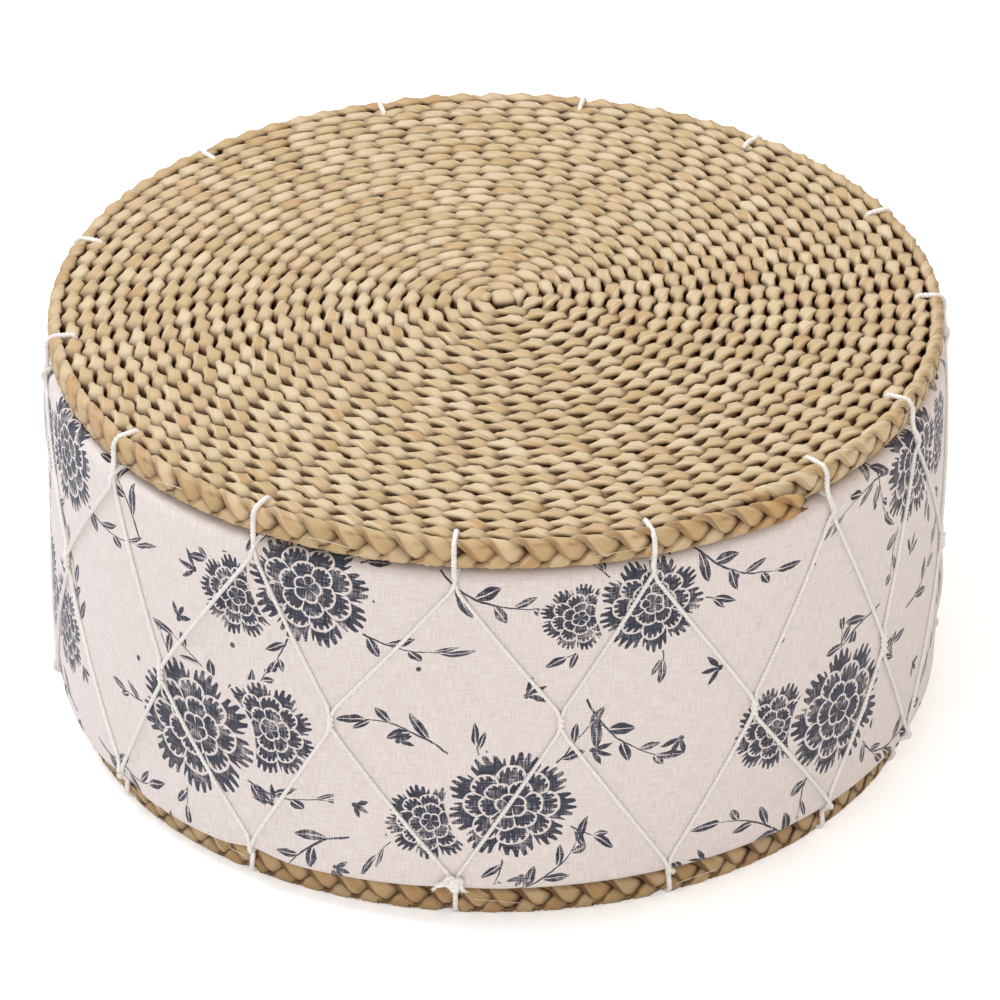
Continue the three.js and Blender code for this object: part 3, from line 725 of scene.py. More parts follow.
def makeHeart(mat):
    # rounded lobes in one closed mesh, with the attributes that the rush reads
    centre = mat["low"] + matHeight / 2
    points, faces, fibres, depths = [], [], [], []
    for offX, offY, halfX, halfY, halfZ, turn in heart["lobes"]:
        x, y = mat["heart"][0] + offX, mat["heart"][1] + offY
        lean = Vector((1, 0, 0)).rotation_difference(Vector(polar(1, turn, 0)))
        first = len(points)
        for tilt in np.linspace(-math.pi / 2, math.pi / 2, heart["rings"]):
            for t in np.linspace(0, tau, heart["sides"], endpoint=False):
                flat = [math.copysign(abs(f) ** heart["squareness"], f)
                        for f in (math.cos(t), math.sin(t))]
                local = Vector((halfX * flat[0], halfY * flat[1], 0)) * math.cos(tilt)
                local.rotate(lean)
                up = halfZ * math.copysign(abs(math.sin(tilt)) ** 0.8, math.sin(tilt))
                up += mat["free"] * (heart["rise"] + matHeight / 2 - halfZ)
                z = max(centre + up, mat["low"])
                points.append(((x + local.x) * mm, (y + local.y) * mm, z * mm))
                fibres.append((local.y * mm, 0.5 * flat[0], halfX * heart["tone"]))
                # depth below the lobe's top, which the rush turns into painted shade
                depths.append((matHeight / 2 - abs(up) + 0.4) * mm)
        for i in range(heart["rings"] - 1):
            for j in range(heart["sides"]):
                k = (j + 1) % heart["sides"]
                low, high = first + i * heart["sides"], first + (i + 1) * heart["sides"]
                faces.append((low + j, low + k, high + k, high + j))
    mesh = bpy.data.meshes.new("heart")
    mesh.from_pydata(points, [], faces)
    mesh.attributes.new("fibre", "FLOAT_VECTOR", "POINT").data.foreach_set(
        "vector", np.array(fibres).ravel())
    mesh.attributes.new("deep", "FLOAT", "POINT").data.foreach_set("value", depths)
    shape = bmesh.new()
    shape.from_mesh(mesh)
    bmesh.ops.remove_doubles(shape, verts=shape.verts, dist=0.01 * mm)
    bmesh.ops.recalc_face_normals(shape, faces=shape.faces)
    shape.to_mesh(mesh)
    shape.free()
    mesh.polygons.foreach_set("use_smooth", np.ones(len(mesh.polygons), bool))
    return makePiece(mat["name"] + "_heart", mesh, rushSkin, "plaited_rush", mat["node"])


for mat in (seatMat, baseMat):
    matPieces.append(makeHeart(mat))

# Routes of the two cords: each hooks the seat and the base in turn, all the way round


def clothRadius(z):
    # the drum swells most at half its height
    low, high = drum["bottom"] + drum["corner"], drum["top"] - drum["corner"]
    share = np.clip((z - low) / (high - low), 0, 1)
    return drum["radius"] + 4 * drum["swell"] * share * (1 - share)


def around(angle, sideways, radius, z):
    # a point beside an angle of the drum, sideways in millimetres round it
    return polar(radius, angle + math.degrees(sideways / radius), z)


def yoke(side):
    # height at which a hook parts into its two legs
    return lacing["seatYoke"] if side > 0 else lacing["baseYoke"]


def hookRoute(k, side):
    # in under the mat, out through the groove, over the two outer rings and back to the drum;
    # each point is so far beside the hook's angle, at a radius and a height
    mat = seatMat if side > 0 else baseMat
    angle = hookAngle(k, side)
    ahead = polar(1, angle, 0)
    shift = float(mat["pole"] @ ahead)
    outer = ringRadius(mat, angle, 0) + shift + plait["sway"] + plait["halfThickness"] + 0.8
    groove = ringRadius(mat, angle, 1) + shift - mat["pitch"] / 2 + lacing["nearGroove"]
    inner = mat["low"] if side > 0 else mat["low"] + matHeight
    over = lacing["underBase"]
    if side > 0:
        over = inner + matHeight - mat["dip"] + lacing["overSeat"]
    leg = clothRadius(yoke(side)) + lacing["legRadius"]
    slot = inner - side * 1.5
    lean = hookLean(k, side)
    return [
        around(angle, 0.2, leg + 1.8, yoke(side)),
        around(angle, 0.8 + lean * 0.3, leg + 0.2, yoke(side) + side * 3.2),
        around(angle, 1.4 + lean * 0.8, drum["radius"] - 3, slot),
        around(angle, 1.6 + lean, groove + 2, slot),
        around(angle, 1.2 + lean, groove, inner + side * 1.5),
        around(angle, 0.3 + lean, groove, over - side * 4),
        around(angle, 0.1 + lean, groove + 1.2, over),
        around(angle, lean, outer - 2.6, over),
        around(angle, lean, outer, over - side * 3.2),
        around(angle, lean * 0.8, outer, inner + side * 2),
        around(angle, lean * 0.1 - 0.1, leg, yoke(side) + side * 1.5),
    ]


def crossing(k):
    # angle and height at which the two legs between hooks k and k + 1 meet
    low, high = drum["bottom"] + drum["corner"], drum["top"] - drum["corner"]
    angle = hookAngle(k) + lacing["crossingAngles"][k] * (hookAngle(k + 1) - hookAngle(k))
    return angle, low + lacing["crossingHeights"][k] * (high - low)


def legRoute(k, side):
    # from hook k to the next one on the other mat, twisted round the other cord where they meet
    angle, height = crossing(k)
    half = lacing["twistLength"] / 2
    leg = lacing["legRadius"] * 0.75
    begin = np.array([hookAngle(k, side), yoke(side) - side * 2.5])
    end = np.array([hookAngle(k + 1, -side), yoke(-side) + side * 2.5])
    points = []
    for share in np.linspace(0.04, 0.97, 16):
        turn, z = begin + (np.array([angle, height + side * half]) - begin) * share
        points.append(polar(clothRadius(z) + leg, turn, z))
    for share in np.linspace(0, 1, 14):
        z = height + half * (1 - 2 * share) * side
        down = (height + half - z) / (2 * half)
        twist = math.pi * (1 - 2 * lacing["twists"] * down) + (0 if side > 0 else math.pi)
        sideways = 0.95 * lacing["legRadius"] * math.cos(twist)
        lift = 0.95 * lacing["legRadius"] * (1 + math.sin(twist))
        points.append(around(angle, sideways, clothRadius(z) + leg + lift, z))
    for share in np.linspace(0.03, 0.96, 16):
        turn, z = np.array([angle, height - side * half]) * (1 - share) + end * share
        points.append(polar(clothRadius(z) + leg, turn, z))
    return points


def evenly(points, step, passes, closed):
    # the same line in even steps, its corners eased
    line = np.array(points)
    if closed:
        line = np.vstack([line, line[:1]])
    lengths = np.concatenate([[0], np.cumsum(np.linalg.norm(np.diff(line, axis=0), axis=1))])
    count = round(lengths[-1] / step)
    at = np.linspace(0, lengths[-1], count + 1)
    line = np.array([np.interp(at, lengths, line[:, i]) for i in range(3)]).T
    if closed:
        line = line[:-1]
        for _ in range(passes):
            line = (np.roll(line, 1, 0) + 2 * line + np.roll(line, -1, 0)) / 4
    else:
        for _ in range(passes):
            line[1:-1] = (line[:-2] + 2 * line[1:-1] + line[2:]) / 4
    return line


def curveThrough(name, lines, radii, closed=False):
    # one curve object with a spline for each line, in millimetres
    curve = bpy.data.curves.new(name, "CURVE")
    curve.dimensions = "3D"
    for line, thick in zip(lines, radii):
        spline = curve.splines.new("POLY")
        spline.points.add(len(line) - 1)
        spline.points.foreach_set("co", np.column_stack([line * mm, np.ones(len(line))]).ravel())
        spline.points.foreach_set("radius", (thick * np.ones(len(line))) * mm)
        spline.use_cyclic_u = closed
    carrier = bpy.data.objects.new(name, curve)
    scene.collection.objects.link(carrier)
    return carrier


cordLines = {}
for name, firstSide in (("lacing_cord_a", -1), ("lacing_cord_b", 1)):
    route = []
    for k in range(hookCount):
        side = firstSide if k % 2 == 0 else -firstSide
        route += hookRoute(k, side) + legRoute(k, side)
    cordLines[name] = evenly(route, lacing["step"], 3, True)

# Cloth band: one straight strip wrapped round the drum, turned in under both mats and lapped
# at the back; air pressure swells it a little between the cords that hold it down

band = {
    "lapAngle": 3.0,
    "lapRise": 0.85,
    "columns": 252,
    "hemRows": 4,
    "cornerRows": 4,
    "wallRows": 32,
    "thickness": 0.65,
    "pressure": 4.0,
    "frames": 20,
    "cap": 1.3,
    "pinReach": 7.0,
    "cordsWithin": 90.0,
    "sag": 4.2,
    "sagAngle": 221.0,
    "sagHalf": 34.0,
    "sagBelow": 64.0,
    "sagFade": 38.0,
    "sagOutside": 208.0,
    "hookHold": 3.2,
    "flatSize": (1.43, 0.255),
    # angle, half angle, depth, low and high end of each crease
    "creases": [(286.2, 0.5, 0.5, 60, 150), (262.0, 0.7, 0.35, 90, 170),
                (236.5, 0.6, 0.35, 40, 120), (318.0, 0.6, 0.4, 50, 140)],
}

corner = drum["corner"]
edge = drum["radius"] - corner
arc = np.linspace(0, math.pi / 2, band["cornerRows"] + 1)[:-1]
profile = [(r, drum["top"]) for r in np.linspace(drum["hem"], edge, band["hemRows"] + 1)[:-1]]
profile += [(edge + corner * math.sin(a), drum["top"] - corner + corner * math.cos(a))
            for a in arc]
profile += [(clothRadius(z), z) for z in np.linspace(
    drum["top"] - corner, drum["bottom"] + corner, band["wallRows"] + 1)]
profile += [(edge + corner * math.sin(a), drum["bottom"] + corner - corner * math.cos(a))
            for a in arc[::-1]]
profile += [(r, drum["bottom"]) for r in np.linspace(
    edge, drum["hem"], band["hemRows"] + 1)[1:]]
profile = np.array(profile)
down = np.gradient(profile, axis=0)
down /= np.linalg.norm(down, axis=1)[:, None]
outNormal = np.column_stack([-down[:, 1], down[:, 0]])
downLength = np.concatenate([[0], np.cumsum(np.linalg.norm(np.diff(profile, axis=0), axis=1))])
wallFirst = band["hemRows"] + band["cornerRows"]
wallLast = wallFirst + band["wallRows"]

startAngle = 90 - band["lapAngle"] / 2
bandAngles = np.linspace(startAngle, startAngle + 360 + band["lapAngle"], band["columns"] + 1)
overLap = np.clip((bandAngles - (bandAngles[-1] - 2 * band["lapAngle"])) / band["lapAngle"], 0, 1)
rise = band["lapRise"] * overLap * overLap * (3 - 2 * overLap)
rowCount, columnCount = len(profile), len(bandAngles)
radial = profile[:, None, 0] + outNormal[:, None, 0] * rise[None, :]
height = profile[:, None, 1] + outNormal[:, None, 1] * rise[None, :]

# the low edge hangs down at the left, most of all between the cords that draw it in
aside = (bandAngles - band["sagAngle"] + 180) % 360 - 180
sag = band["sag"] * np.exp(-(aside / band["sagHalf"]) ** 2)
for k in range(hookCount):
    aside = (bandAngles - hookAngle(k, -1) + 180) % 360 - 180
    sag *= 1 - np.exp(-(aside / band["hookHold"]) ** 2)
loose = np.clip((band["sagBelow"] - profile[:, 1]) / band["sagFade"], 0, 1)
loose = loose * np.clip((profile[:, 0] - band["sagOutside"]) / 10, 0, 1)
height = height - (loose * loose * (3 - 2 * loose))[:, None] * sag[None, :]
turned = np.radians(bandAngles)[None, :]
restPoints = np.stack([radial * np.cos(turned), radial * np.sin(turned), height], axis=2)
outward = np.stack([outNormal[:, None, 0] * np.cos(turned), outNormal[:, None, 0] * np.sin(turned),
                    outNormal[:, None, 1] * np.ones_like(turned)], axis=2)

corners = np.arange(rowCount * columnCount).reshape(rowCount, columnCount)
quads = np.stack([corners[:-1, :-1], corners[1:, :-1], corners[1:, 1:], corners[:-1, 1:]],
                 axis=2).reshape(-1, 4)
bandMesh = bpy.data.meshes.new("bandGrid")
bandMesh.from_pydata((restPoints.reshape(-1, 3) * mm).tolist(), [], quads.tolist())
flatPlace = np.stack([np.radians(bandAngles)[None, :] * drum["radius"] * np.ones((rowCount, 1)),
                      downLength[:, None] * np.ones((1, columnCount))], axis=2).reshape(-1, 2)
clothMap = bandMesh.uv_layers.new(name="flatCloth")
clothMap.uv.foreach_set("vector", (flatPlace[quads.ravel()] * mm).ravel())
bandObject = bpy.data.objects.new("bandGrid", bandMesh)
scene.collection.objects.link(bandObject)

# cords, hems and the lap hold the cloth; the nearer a cord, the firmer
held = np.ones((rowCount, columnCount))
cordPoints = np.vstack(list(cordLines.values()))
fromMiddle = np.abs(cordPoints[:, 2] - profile[wallFirst:wallLast, 1].mean())
cordPoints = cordPoints[fromMiddle < band["cordsWithin"]]
cordTurns = np.degrees(np.arctan2(cordPoints[:, 1], cordPoints[:, 0]))
for row in range(wallFirst + 1, wallLast):
    nearRow = np.abs(cordPoints[:, 2] - profile[row, 1]) < 2 * band["pinReach"]
    turns, heights = cordTurns[nearRow], cordPoints[nearRow, 2]
    apart = (bandAngles[:, None] - turns[None, :] + 180) % 360 - 180
    apart = np.hypot(np.radians(apart) * drum["radius"], heights[None, :] - profile[row, 1])
    held[row] = np.clip(1.15 - apart.min(axis=1) / band["pinReach"], 0, 1)
held[:, :2] = 1
held[:, bandAngles > bandAngles[-1] - 2 * band["lapAngle"]] = 1
moved = np.zeros_like(restPoints)
group = bandObject.vertex_groups.new(name="held")
for index, weight in enumerate(held.ravel()):
    group.add([index], float(weight), "REPLACE")
simulated = bandObject.modifiers.new("swell", "CLOTH")
simulated.settings.quality = 6
simulated.settings.mass = 0.3
simulated.settings.vertex_group_mass = "held"
simulated.settings.use_pressure = True
simulated.settings.uniform_pressure_force = band["pressure"]
simulated.settings.effector_weights.gravity = 0
simulated.point_cache.frame_end = band["frames"]
for step in range(1, band["frames"] + 1):
    scene.frame_set(step)
shown = bandObject.evaluated_get(bpy.context.evaluated_depsgraph_get())
swollen = np.empty(rowCount * columnCount * 3, dtype=np.float32)
shown.data.vertices.foreach_get("co", swollen)
moved = swollen.reshape(rowCount, columnCount, 3) / mm - restPoints
bandObject.modifiers.remove(simulated)
scene.frame_set(1)
proud = np.clip((moved * outward).sum(axis=2), 0, None)
proud = band["cap"] * (1 - np.exp(-proud / band["cap"]))
print("cloth swells at most", round(float(proud.max()), 2), "mm")
for angle, halfAngle, depth, low, high in band["creases"]:
    apart = (bandAngles - angle + 180) % 360 - 180
    along = np.clip((profile[:, 1] - low) / (high - low), 0, 1)
    proud -= (depth * 4 * along * (1 - along))[:, None] * np.exp(-(apart / halfAngle) ** 2)
bandPoints = restPoints + outward * proud[:, :, None]
bandMesh.vertices.foreach_set("co", (bandPoints * mm).ravel())
bandMesh.update()
finer = bandObject.modifiers.new("finer", "SUBSURF")
finer.levels = finer.render_levels = 1
wall = bandObject.modifiers.new("wall", "SOLIDIFY")
wall.thickness = band["thickness"] * mm
wall.offset = -1
shown = bandObject.evaluated_get(bpy.context.evaluated_depsgraph_get())
bandSkin = bpy.data.meshes.new_from_object(shown)
bpy.data.objects.remove(bandObject)
bandSkin.polygons.foreach_set("use_smooth", np.ones(len(bandSkin.polygons), bool))

# Block print, worked out by the material in millimetres of flat cloth

scatter, sizes = newTree("scatter", {
    "Place": "Vector", "Cell": "Vector", "Spread": "Vector", "Row Shift": "Float",
    "Seed": "Float",
}, {"Local": "Vector", "Chance": "Vector"}, "ShaderNodeTree")
share = addNode(scatter, "ShaderNodeVectorMath", sizes["Place"], sizes["Cell"],
                operation="DIVIDE")
split = addNode(scatter, "ShaderNodeSeparateXYZ", share, output=None)
row = addNode(scatter, "ShaderNodeMath", split["Y"], operation="FLOOR")
shifted = addNode(scatter, "ShaderNodeMath", row, sizes["Row Shift"], split["X"],
                  operation="MULTIPLY_ADD")
share = addNode(scatter, "ShaderNodeCombineXYZ", shifted, split["Y"])
cell = addNode(scatter, "ShaderNodeVectorMath", share, operation="FLOOR")
seeded = addNode(scatter, "ShaderNodeVectorMath", cell,
                 addNode(scatter, "ShaderNodeCombineXYZ", 0.0, 0.0, sizes["Seed"]))
chance = addNode(scatter, "ShaderNodeTexWhiteNoise", seeded, output="Color")
local = addNode(scatter, "ShaderNodeVectorMath", share, cell, operation="SUBTRACT")
local = addNode(scatter, "ShaderNodeVectorMath", local, (0.5, 0.5, 0.0), operation="SUBTRACT")
local = addNode(scatter, "ShaderNodeVectorMath", local, sizes["Cell"], operation="MULTIPLY")
offset = addNode(scatter, "ShaderNodeVectorMath", chance, (0.5, 0.5, 0.5), operation="SUBTRACT")
offset = addNode(scatter, "ShaderNodeVectorMath", offset, sizes["Spread"], operation="MULTIPLY")
local = addNode(scatter, "ShaderNodeVectorMath", local, offset, operation="SUBTRACT")
addNode(scatter, "NodeGroupOutput", local, chance, output=None)

# open flower head: layers of scalloped petals with fine lines cut back to the cloth
flower = {
    "layers": [(1.0, 9, 0.0), (0.74, 8, 0.9), (0.48, 6, 2.1), (0.24, 5, 0.4)],
    "scallop": 0.2,
    "rimLine": 0.03,
    "gapLine": 0.16,
    "veinsPerPetal": 5,
    "veinReach": 0.2,
}
flowerHead, sizes = newTree("flowerHead", {
    "Local": "Vector", "Radius": "Float", "Turn": "Float",
}, {"Ink": "Float", "Share": "Float"}, "ShaderNodeTree")
split = addNode(flowerHead, "ShaderNodeSeparateXYZ", sizes["Local"], output=None)
share = addNode(flowerHead, "ShaderNodeVectorMath", sizes["Local"], output="Value",
                operation="LENGTH")
share = addNode(flowerHead, "ShaderNodeMath", share, sizes["Radius"], operation="DIVIDE")
angle = addNode(flowerHead, "ShaderNodeMath", split["Y"], split["X"], operation="ARCTAN2")
angle = addNode(flowerHead, "ShaderNodeMath", angle, sizes["Turn"])
ink = None
for size, petals, phase in flower["layers"]:
    waves = addNode(flowerHead, "ShaderNodeMath", angle, petals / 2, phase,
                    operation="MULTIPLY_ADD")
    waves = addNode(flowerHead, "ShaderNodeMath", waves, operation="SINE")
    waves = addNode(flowerHead, "ShaderNodeMath", waves, operation="ABSOLUTE")
    rim = addNode(flowerHead, "ShaderNodeMath", waves, 0.6, operation="POWER")
    rim = addNode(flowerHead, "ShaderNodeMath", rim, flower["scallop"] * size,
                  size * (1 - flower["scallop"]), operation="MULTIPLY_ADD")
    depth = addNode(flowerHead, "ShaderNodeMath", rim, share, operation="SUBTRACT")
    inside = addNode(flowerHead, "ShaderNodeMapRange", depth, -0.008, 0.008)
    printed = addNode(flowerHead, "ShaderNodeMapRange", depth, flower["rimLine"],
                      flower["rimLine"] + 0.012)
    gap = addNode(flowerHead, "ShaderNodeMath", depth, -0.5, flower["gapLine"],
                  operation="MULTIPLY_ADD")
    gap = addNode(flowerHead, "ShaderNodeMath", waves, gap, operation="SUBTRACT")
    gap = addNode(flowerHead, "ShaderNodeMapRange", gap, 0.0, 0.04)
    printed = addNode(flowerHead, "ShaderNodeMath", printed, gap, operation="MULTIPLY")
    vein = addNode(flowerHead, "ShaderNodeMath", angle, petals * flower["veinsPerPetal"], phase,
                   operation="MULTIPLY_ADD")
    vein = addNode(flowerHead, "ShaderNodeMath", vein, operation="SINE")
    deep = addNode(flowerHead, "ShaderNodeMath", depth, 1.9 / (flower["veinReach"] * size), -0.55,
                   operation="MULTIPLY_ADD")
    vein = addNode(flowerHead, "ShaderNodeMath", vein, deep, operation="SUBTRACT")
    vein = addNode(flowerHead, "ShaderNodeMapRange", vein, 0.0, 0.25, 1.0, 0.0)
    printed = addNode(flowerHead, "ShaderNodeMath", printed, vein, operation="MULTIPLY")
    if ink is None:
        ink = addNode(flowerHead, "ShaderNodeMapRange", depth, 0.0, 0.012)
        ink = addNode(flowerHead, "ShaderNodeMath", ink, vein, operation="MULTIPLY")
        ink = addNode(flowerHead, "ShaderNodeMath", ink, gap, operation="MULTIPLY")
    else:
        ink = addNode(flowerHead, "ShaderNodeMix", inside, None, ink, printed)
addNode(flowerHead, "NodeGroupOutput", ink, share, output=None)

# curved stem with leaves on alternate sides and one at its tip
leafing = {"spacing": 10.0, "lean": 38.0, "slender": 0.19, "stem": 0.75, "rib": 0.3}
leafSpray, sizes = newTree("leafSpray", {
    "Along": "Float", "Across": "Float", "Length": "Float", "Leaf": "Float",
}, {"Ink": "Float"}, "ShaderNodeTree")
lean = math.radians(leafing["lean"])
side = addNode(leafSpray, "ShaderNodeMath", sizes["Across"], 0.0, operation="GREATER_THAN")
beside = addNode(leafSpray, "ShaderNodeMath", sizes["Across"], operation="ABSOLUTE")
begun = addNode(leafSpray, "ShaderNodeMath", side, leafing["spacing"], sizes["Along"],
                operation="MULTIPLY_ADD")
fromRoot = addNode(leafSpray, "ShaderNodeMath", begun, 2 * leafing["spacing"],
                operation="FLOORED_MODULO")
root = addNode(leafSpray, "ShaderNodeMath", sizes["Along"], fromRoot, operation="SUBTRACT")
reach = addNode(leafSpray, "ShaderNodeMath", root, sizes["Length"], operation="DIVIDE")
reach = addNode(leafSpray, "ShaderNodeMath", reach, -0.45, 1.0, operation="MULTIPLY_ADD")
size = addNode(leafSpray, "ShaderNodeMath", reach, sizes["Leaf"], operation="MULTIPLY")
forward = addNode(leafSpray, "ShaderNodeMath", fromRoot, math.cos(lean), operation="MULTIPLY")
forward = addNode(leafSpray, "ShaderNodeMath", beside, math.sin(lean), forward,
                  operation="MULTIPLY_ADD")
aside = addNode(leafSpray, "ShaderNodeMath", fromRoot, -math.sin(lean), operation="MULTIPLY")
aside = addNode(leafSpray, "ShaderNodeMath", beside, math.cos(lean), aside,
                operation="MULTIPLY_ADD")
grows = addNode(leafSpray, "ShaderNodeMath", root, 1.0, operation="GREATER_THAN")
ends = addNode(leafSpray, "ShaderNodeMath", root, sizes["Length"], operation="LESS_THAN")
grows = addNode(leafSpray, "ShaderNodeMath", grows, ends, operation="MULTIPLY")
tipPlace = addNode(leafSpray, "ShaderNodeMath", sizes["Along"], sizes["Length"],
                   operation="SUBTRACT")
tipSize = addNode(leafSpray, "ShaderNodeMath", sizes["Leaf"], 0.8, operation="MULTIPLY")
ink = addNode(leafSpray, "ShaderNodeMath", sizes["Along"], sizes["Length"], operation="DIVIDE")
ink = addNode(leafSpray, "ShaderNodeMath", ink, -0.6 * leafing["stem"], leafing["stem"],
              operation="MULTIPLY_ADD")
ink = addNode(leafSpray, "ShaderNodeMath", ink, beside, operation="SUBTRACT")
ink = addNode(leafSpray, "ShaderNodeMapRange", ink, -0.1, 0.15)
onStem = addNode(leafSpray, "ShaderNodeMath", sizes["Along"], 0.0, operation="GREATER_THAN")
notPast = addNode(leafSpray, "ShaderNodeMath", tipPlace, 0.5, operation="LESS_THAN")
onStem = addNode(leafSpray, "ShaderNodeMath", onStem, notPast, operation="MULTIPLY")
ink = addNode(leafSpray, "ShaderNodeMath", ink, onStem, operation="MULTIPLY")
for ahead, off, size, bound in ((forward, aside, size, grows),
                                (tipPlace, sizes["Across"], tipSize, 1.0)):
    along = addNode(leafSpray, "ShaderNodeMath", ahead, size, operation="DIVIDE")
    onLeaf = addNode(leafSpray, "ShaderNodeMath", along, along, operation="MULTIPLY")
    onLeaf = addNode(leafSpray, "ShaderNodeMath", along, onLeaf, operation="SUBTRACT")
    belly = addNode(leafSpray, "ShaderNodeMath", onLeaf, 4 * leafing["slender"],
                    operation="MULTIPLY")
    belly = addNode(leafSpray, "ShaderNodeMath", belly, size, operation="MULTIPLY")
    off = addNode(leafSpray, "ShaderNodeMath", off, operation="ABSOLUTE")
    leaf = addNode(leafSpray, "ShaderNodeMath", belly, off, operation="SUBTRACT")
    leaf = addNode(leafSpray, "ShaderNodeMapRange", leaf, 0.0, 0.25)
    rib = addNode(leafSpray, "ShaderNodeMath", along, -leafing["rib"], leafing["rib"],
                  operation="MULTIPLY_ADD")
    rib = addNode(leafSpray, "ShaderNodeMath", off, rib, operation="SUBTRACT")
    rib = addNode(leafSpray, "ShaderNodeMapRange", rib, 0.0, 0.15)
    leaf = addNode(leafSpray, "ShaderNodeMath", leaf, rib, operation="MULTIPLY")
    leaf = addNode(leafSpray, "ShaderNodeMath", leaf, bound, operation="MULTIPLY")
    ink = addNode(leafSpray, "ShaderNodeMath", ink, leaf, operation="MAXIMUM")
addNode(leafSpray, "NodeGroupOutput", ink, output=None)

linen = {
    "ground": "#ece4e1",
    "slub": "#d9cdc8",
    "ink": "#31323e",
    "inkWorn": "#585a68",
    "flowerCell": (176.0, 106.0, 1.0),
    "flowerSpread": (20.0, 12.0, 0.0),
    "rowShift": 0.43,
    "flowerSmall": 26.0,
    "flowerLarge": 38.0,
    "flowerSeed": 3.0,
    "secondSize": 0.7,
    "secondApart": 1.3,
    "sprays": 5,
    "sprayLength": 36.0,
    "sprayRoom": (76.0, 45.0),
    "leaf": 16.0,
    "twigCell": (112.0, 84.0, 1.0),
    "twigSpread": (24.0, 14.0, 0.0),
    "twigLength": 66.0,
    "twigLeaf": 18.0,
    "twigBow": 0.009,
    "twigSeed": 8.0,
    "sprigCell": (47.0, 39.0, 1.0),
    "sprigSpread": (20.0, 16.0, 0.0),
    "sprigShift": 0.37,
    "sprigSmall": 7.0,
    "sprigLarge": 12.0,
    "sprigSeed": 21.0,
    # unsteady hand: length and sway of each wave
    "handWaves": ((26.0, 5.0), (5.0, 1.3)),
    "slubLength": 9.0,
    "slubWidth": 0.55,
    "mottle": 11.0,
    "threads": 0.62,
    "roughness": 0.9,
}

# Cotton and linen plain weave with slubs, block-printed in indigo: a matt, slightly hairy
# cloth whose threads break up the ink
printedCloth, tree = newMaterial("blockPrintedLinen")
flat = addNode(tree, "ShaderNodeUVMap", uv_map="flatCloth")
place = addNode(tree, "ShaderNodeVectorMath", flat, sockets={"Scale": 1 / mm}, operation="SCALE")
drawn = place
for wave, sway in linen["handWaves"]:
    warp = addNode(tree, "ShaderNodeTexNoise", output="Color", sockets={
        "Vector": place, "Scale": 1 / wave, "Detail": 1.0})
    warp = addNode(tree, "ShaderNodeVectorMath", warp, (0.5, 0.5, 0.5), operation="SUBTRACT")
    warp = addNode(tree, "ShaderNodeVectorMath", warp, (sway, sway, 0.0), operation="MULTIPLY")
    drawn = addNode(tree, "ShaderNodeVectorMath", drawn, warp)

# flower heads in pairs, with sprays of leaves spread round them
cells = addNode(tree, "ShaderNodeGroup", output=None, node_tree=scatter, sockets={
    "Place": drawn, "Cell": linen["flowerCell"], "Spread": linen["flowerSpread"],
    "Row Shift": linen["rowShift"], "Seed": linen["flowerSeed"]})
local = cells["Local"]
chance = addNode(tree, "ShaderNodeSeparateXYZ", cells["Chance"], output=None)
radius = addNode(tree, "ShaderNodeMapRange", chance["X"], 0.0, 1.0, linen["flowerSmall"],
                 linen["flowerLarge"])
head = addNode(tree, "ShaderNodeGroup", output=None, node_tree=flowerHead, sockets={
    "Local": local, "Radius": radius, "Turn": chance["Y"]})
pairTurn = addNode(tree, "ShaderNodeMath", chance["Z"], 0.8, -0.4, operation="MULTIPLY_ADD")
pairSide = addNode(tree, "ShaderNodeMath", chance["Y"], 0.5, operation="GREATER_THAN")
pairTurn = addNode(tree, "ShaderNodeMath", pairSide, math.pi, pairTurn, operation="MULTIPLY_ADD")
apart = addNode(tree, "ShaderNodeMath", radius, linen["secondApart"], operation="MULTIPLY")
partner = addNode(tree, "ShaderNodeVectorRotate", sockets={
    "Vector": addNode(tree, "ShaderNodeCombineXYZ", apart), "Angle": pairTurn},
    rotation_type="Z_AXIS")
partner = addNode(tree, "ShaderNodeVectorMath", local, partner, operation="SUBTRACT")
smaller = addNode(tree, "ShaderNodeMath", radius, linen["secondSize"], operation="MULTIPLY")
second = addNode(tree, "ShaderNodeGroup", output=None, node_tree=flowerHead, sockets={
    "Local": partner, "Radius": smaller, "Turn": chance["Z"]})
clear = addNode(tree, "ShaderNodeMapRange", head["Share"], 1.02, 1.04)
ink = addNode(tree, "ShaderNodeMath", second["Ink"], clear, operation="MULTIPLY")
ink = addNode(tree, "ShaderNodeMath", ink, head["Ink"], operation="MAXIMUM")
clearOfSecond = addNode(tree, "ShaderNodeMapRange", second["Share"], 1.02, 1.04)
clear = addNode(tree, "ShaderNodeMath", clear, clearOfSecond, operation="MULTIPLY")

sector = tau / linen["sprays"]
split = addNode(tree, "ShaderNodeSeparateXYZ", local, output=None)
angle = addNode(tree, "ShaderNodeMath", split["Y"], split["X"], operation="ARCTAN2")
turned = addNode(tree, "ShaderNodeMath", angle, 1 / sector, chance["Z"], operation="MULTIPLY_ADD")
index = addNode(tree, "ShaderNodeMath", turned, operation="FLOOR")
within = addNode(tree, "ShaderNodeMath", turned, index, operation="SUBTRACT")
within = addNode(tree, "ShaderNodeMath", within, sector, -sector / 2, operation="MULTIPLY_ADD")
axis = addNode(tree, "ShaderNodeMath", angle, within, operation="SUBTRACT")
index = addNode(tree, "ShaderNodeMath", index, float(linen["sprays"]),
                operation="FLOORED_MODULO")
spokeSeed = addNode(tree, "ShaderNodeCombineXYZ", index, chance["X"], chance["Y"])
spoke = addNode(tree, "ShaderNodeTexWhiteNoise", spokeSeed, output="Value")
away = addNode(tree, "ShaderNodeVectorMath", local, output="Value", operation="LENGTH")
start = addNode(tree, "ShaderNodeMath", radius, 0.8, operation="MULTIPLY")
along = addNode(tree, "ShaderNodeMath", within, operation="COSINE")
along = addNode(tree, "ShaderNodeMath", along, away, operation="MULTIPLY")
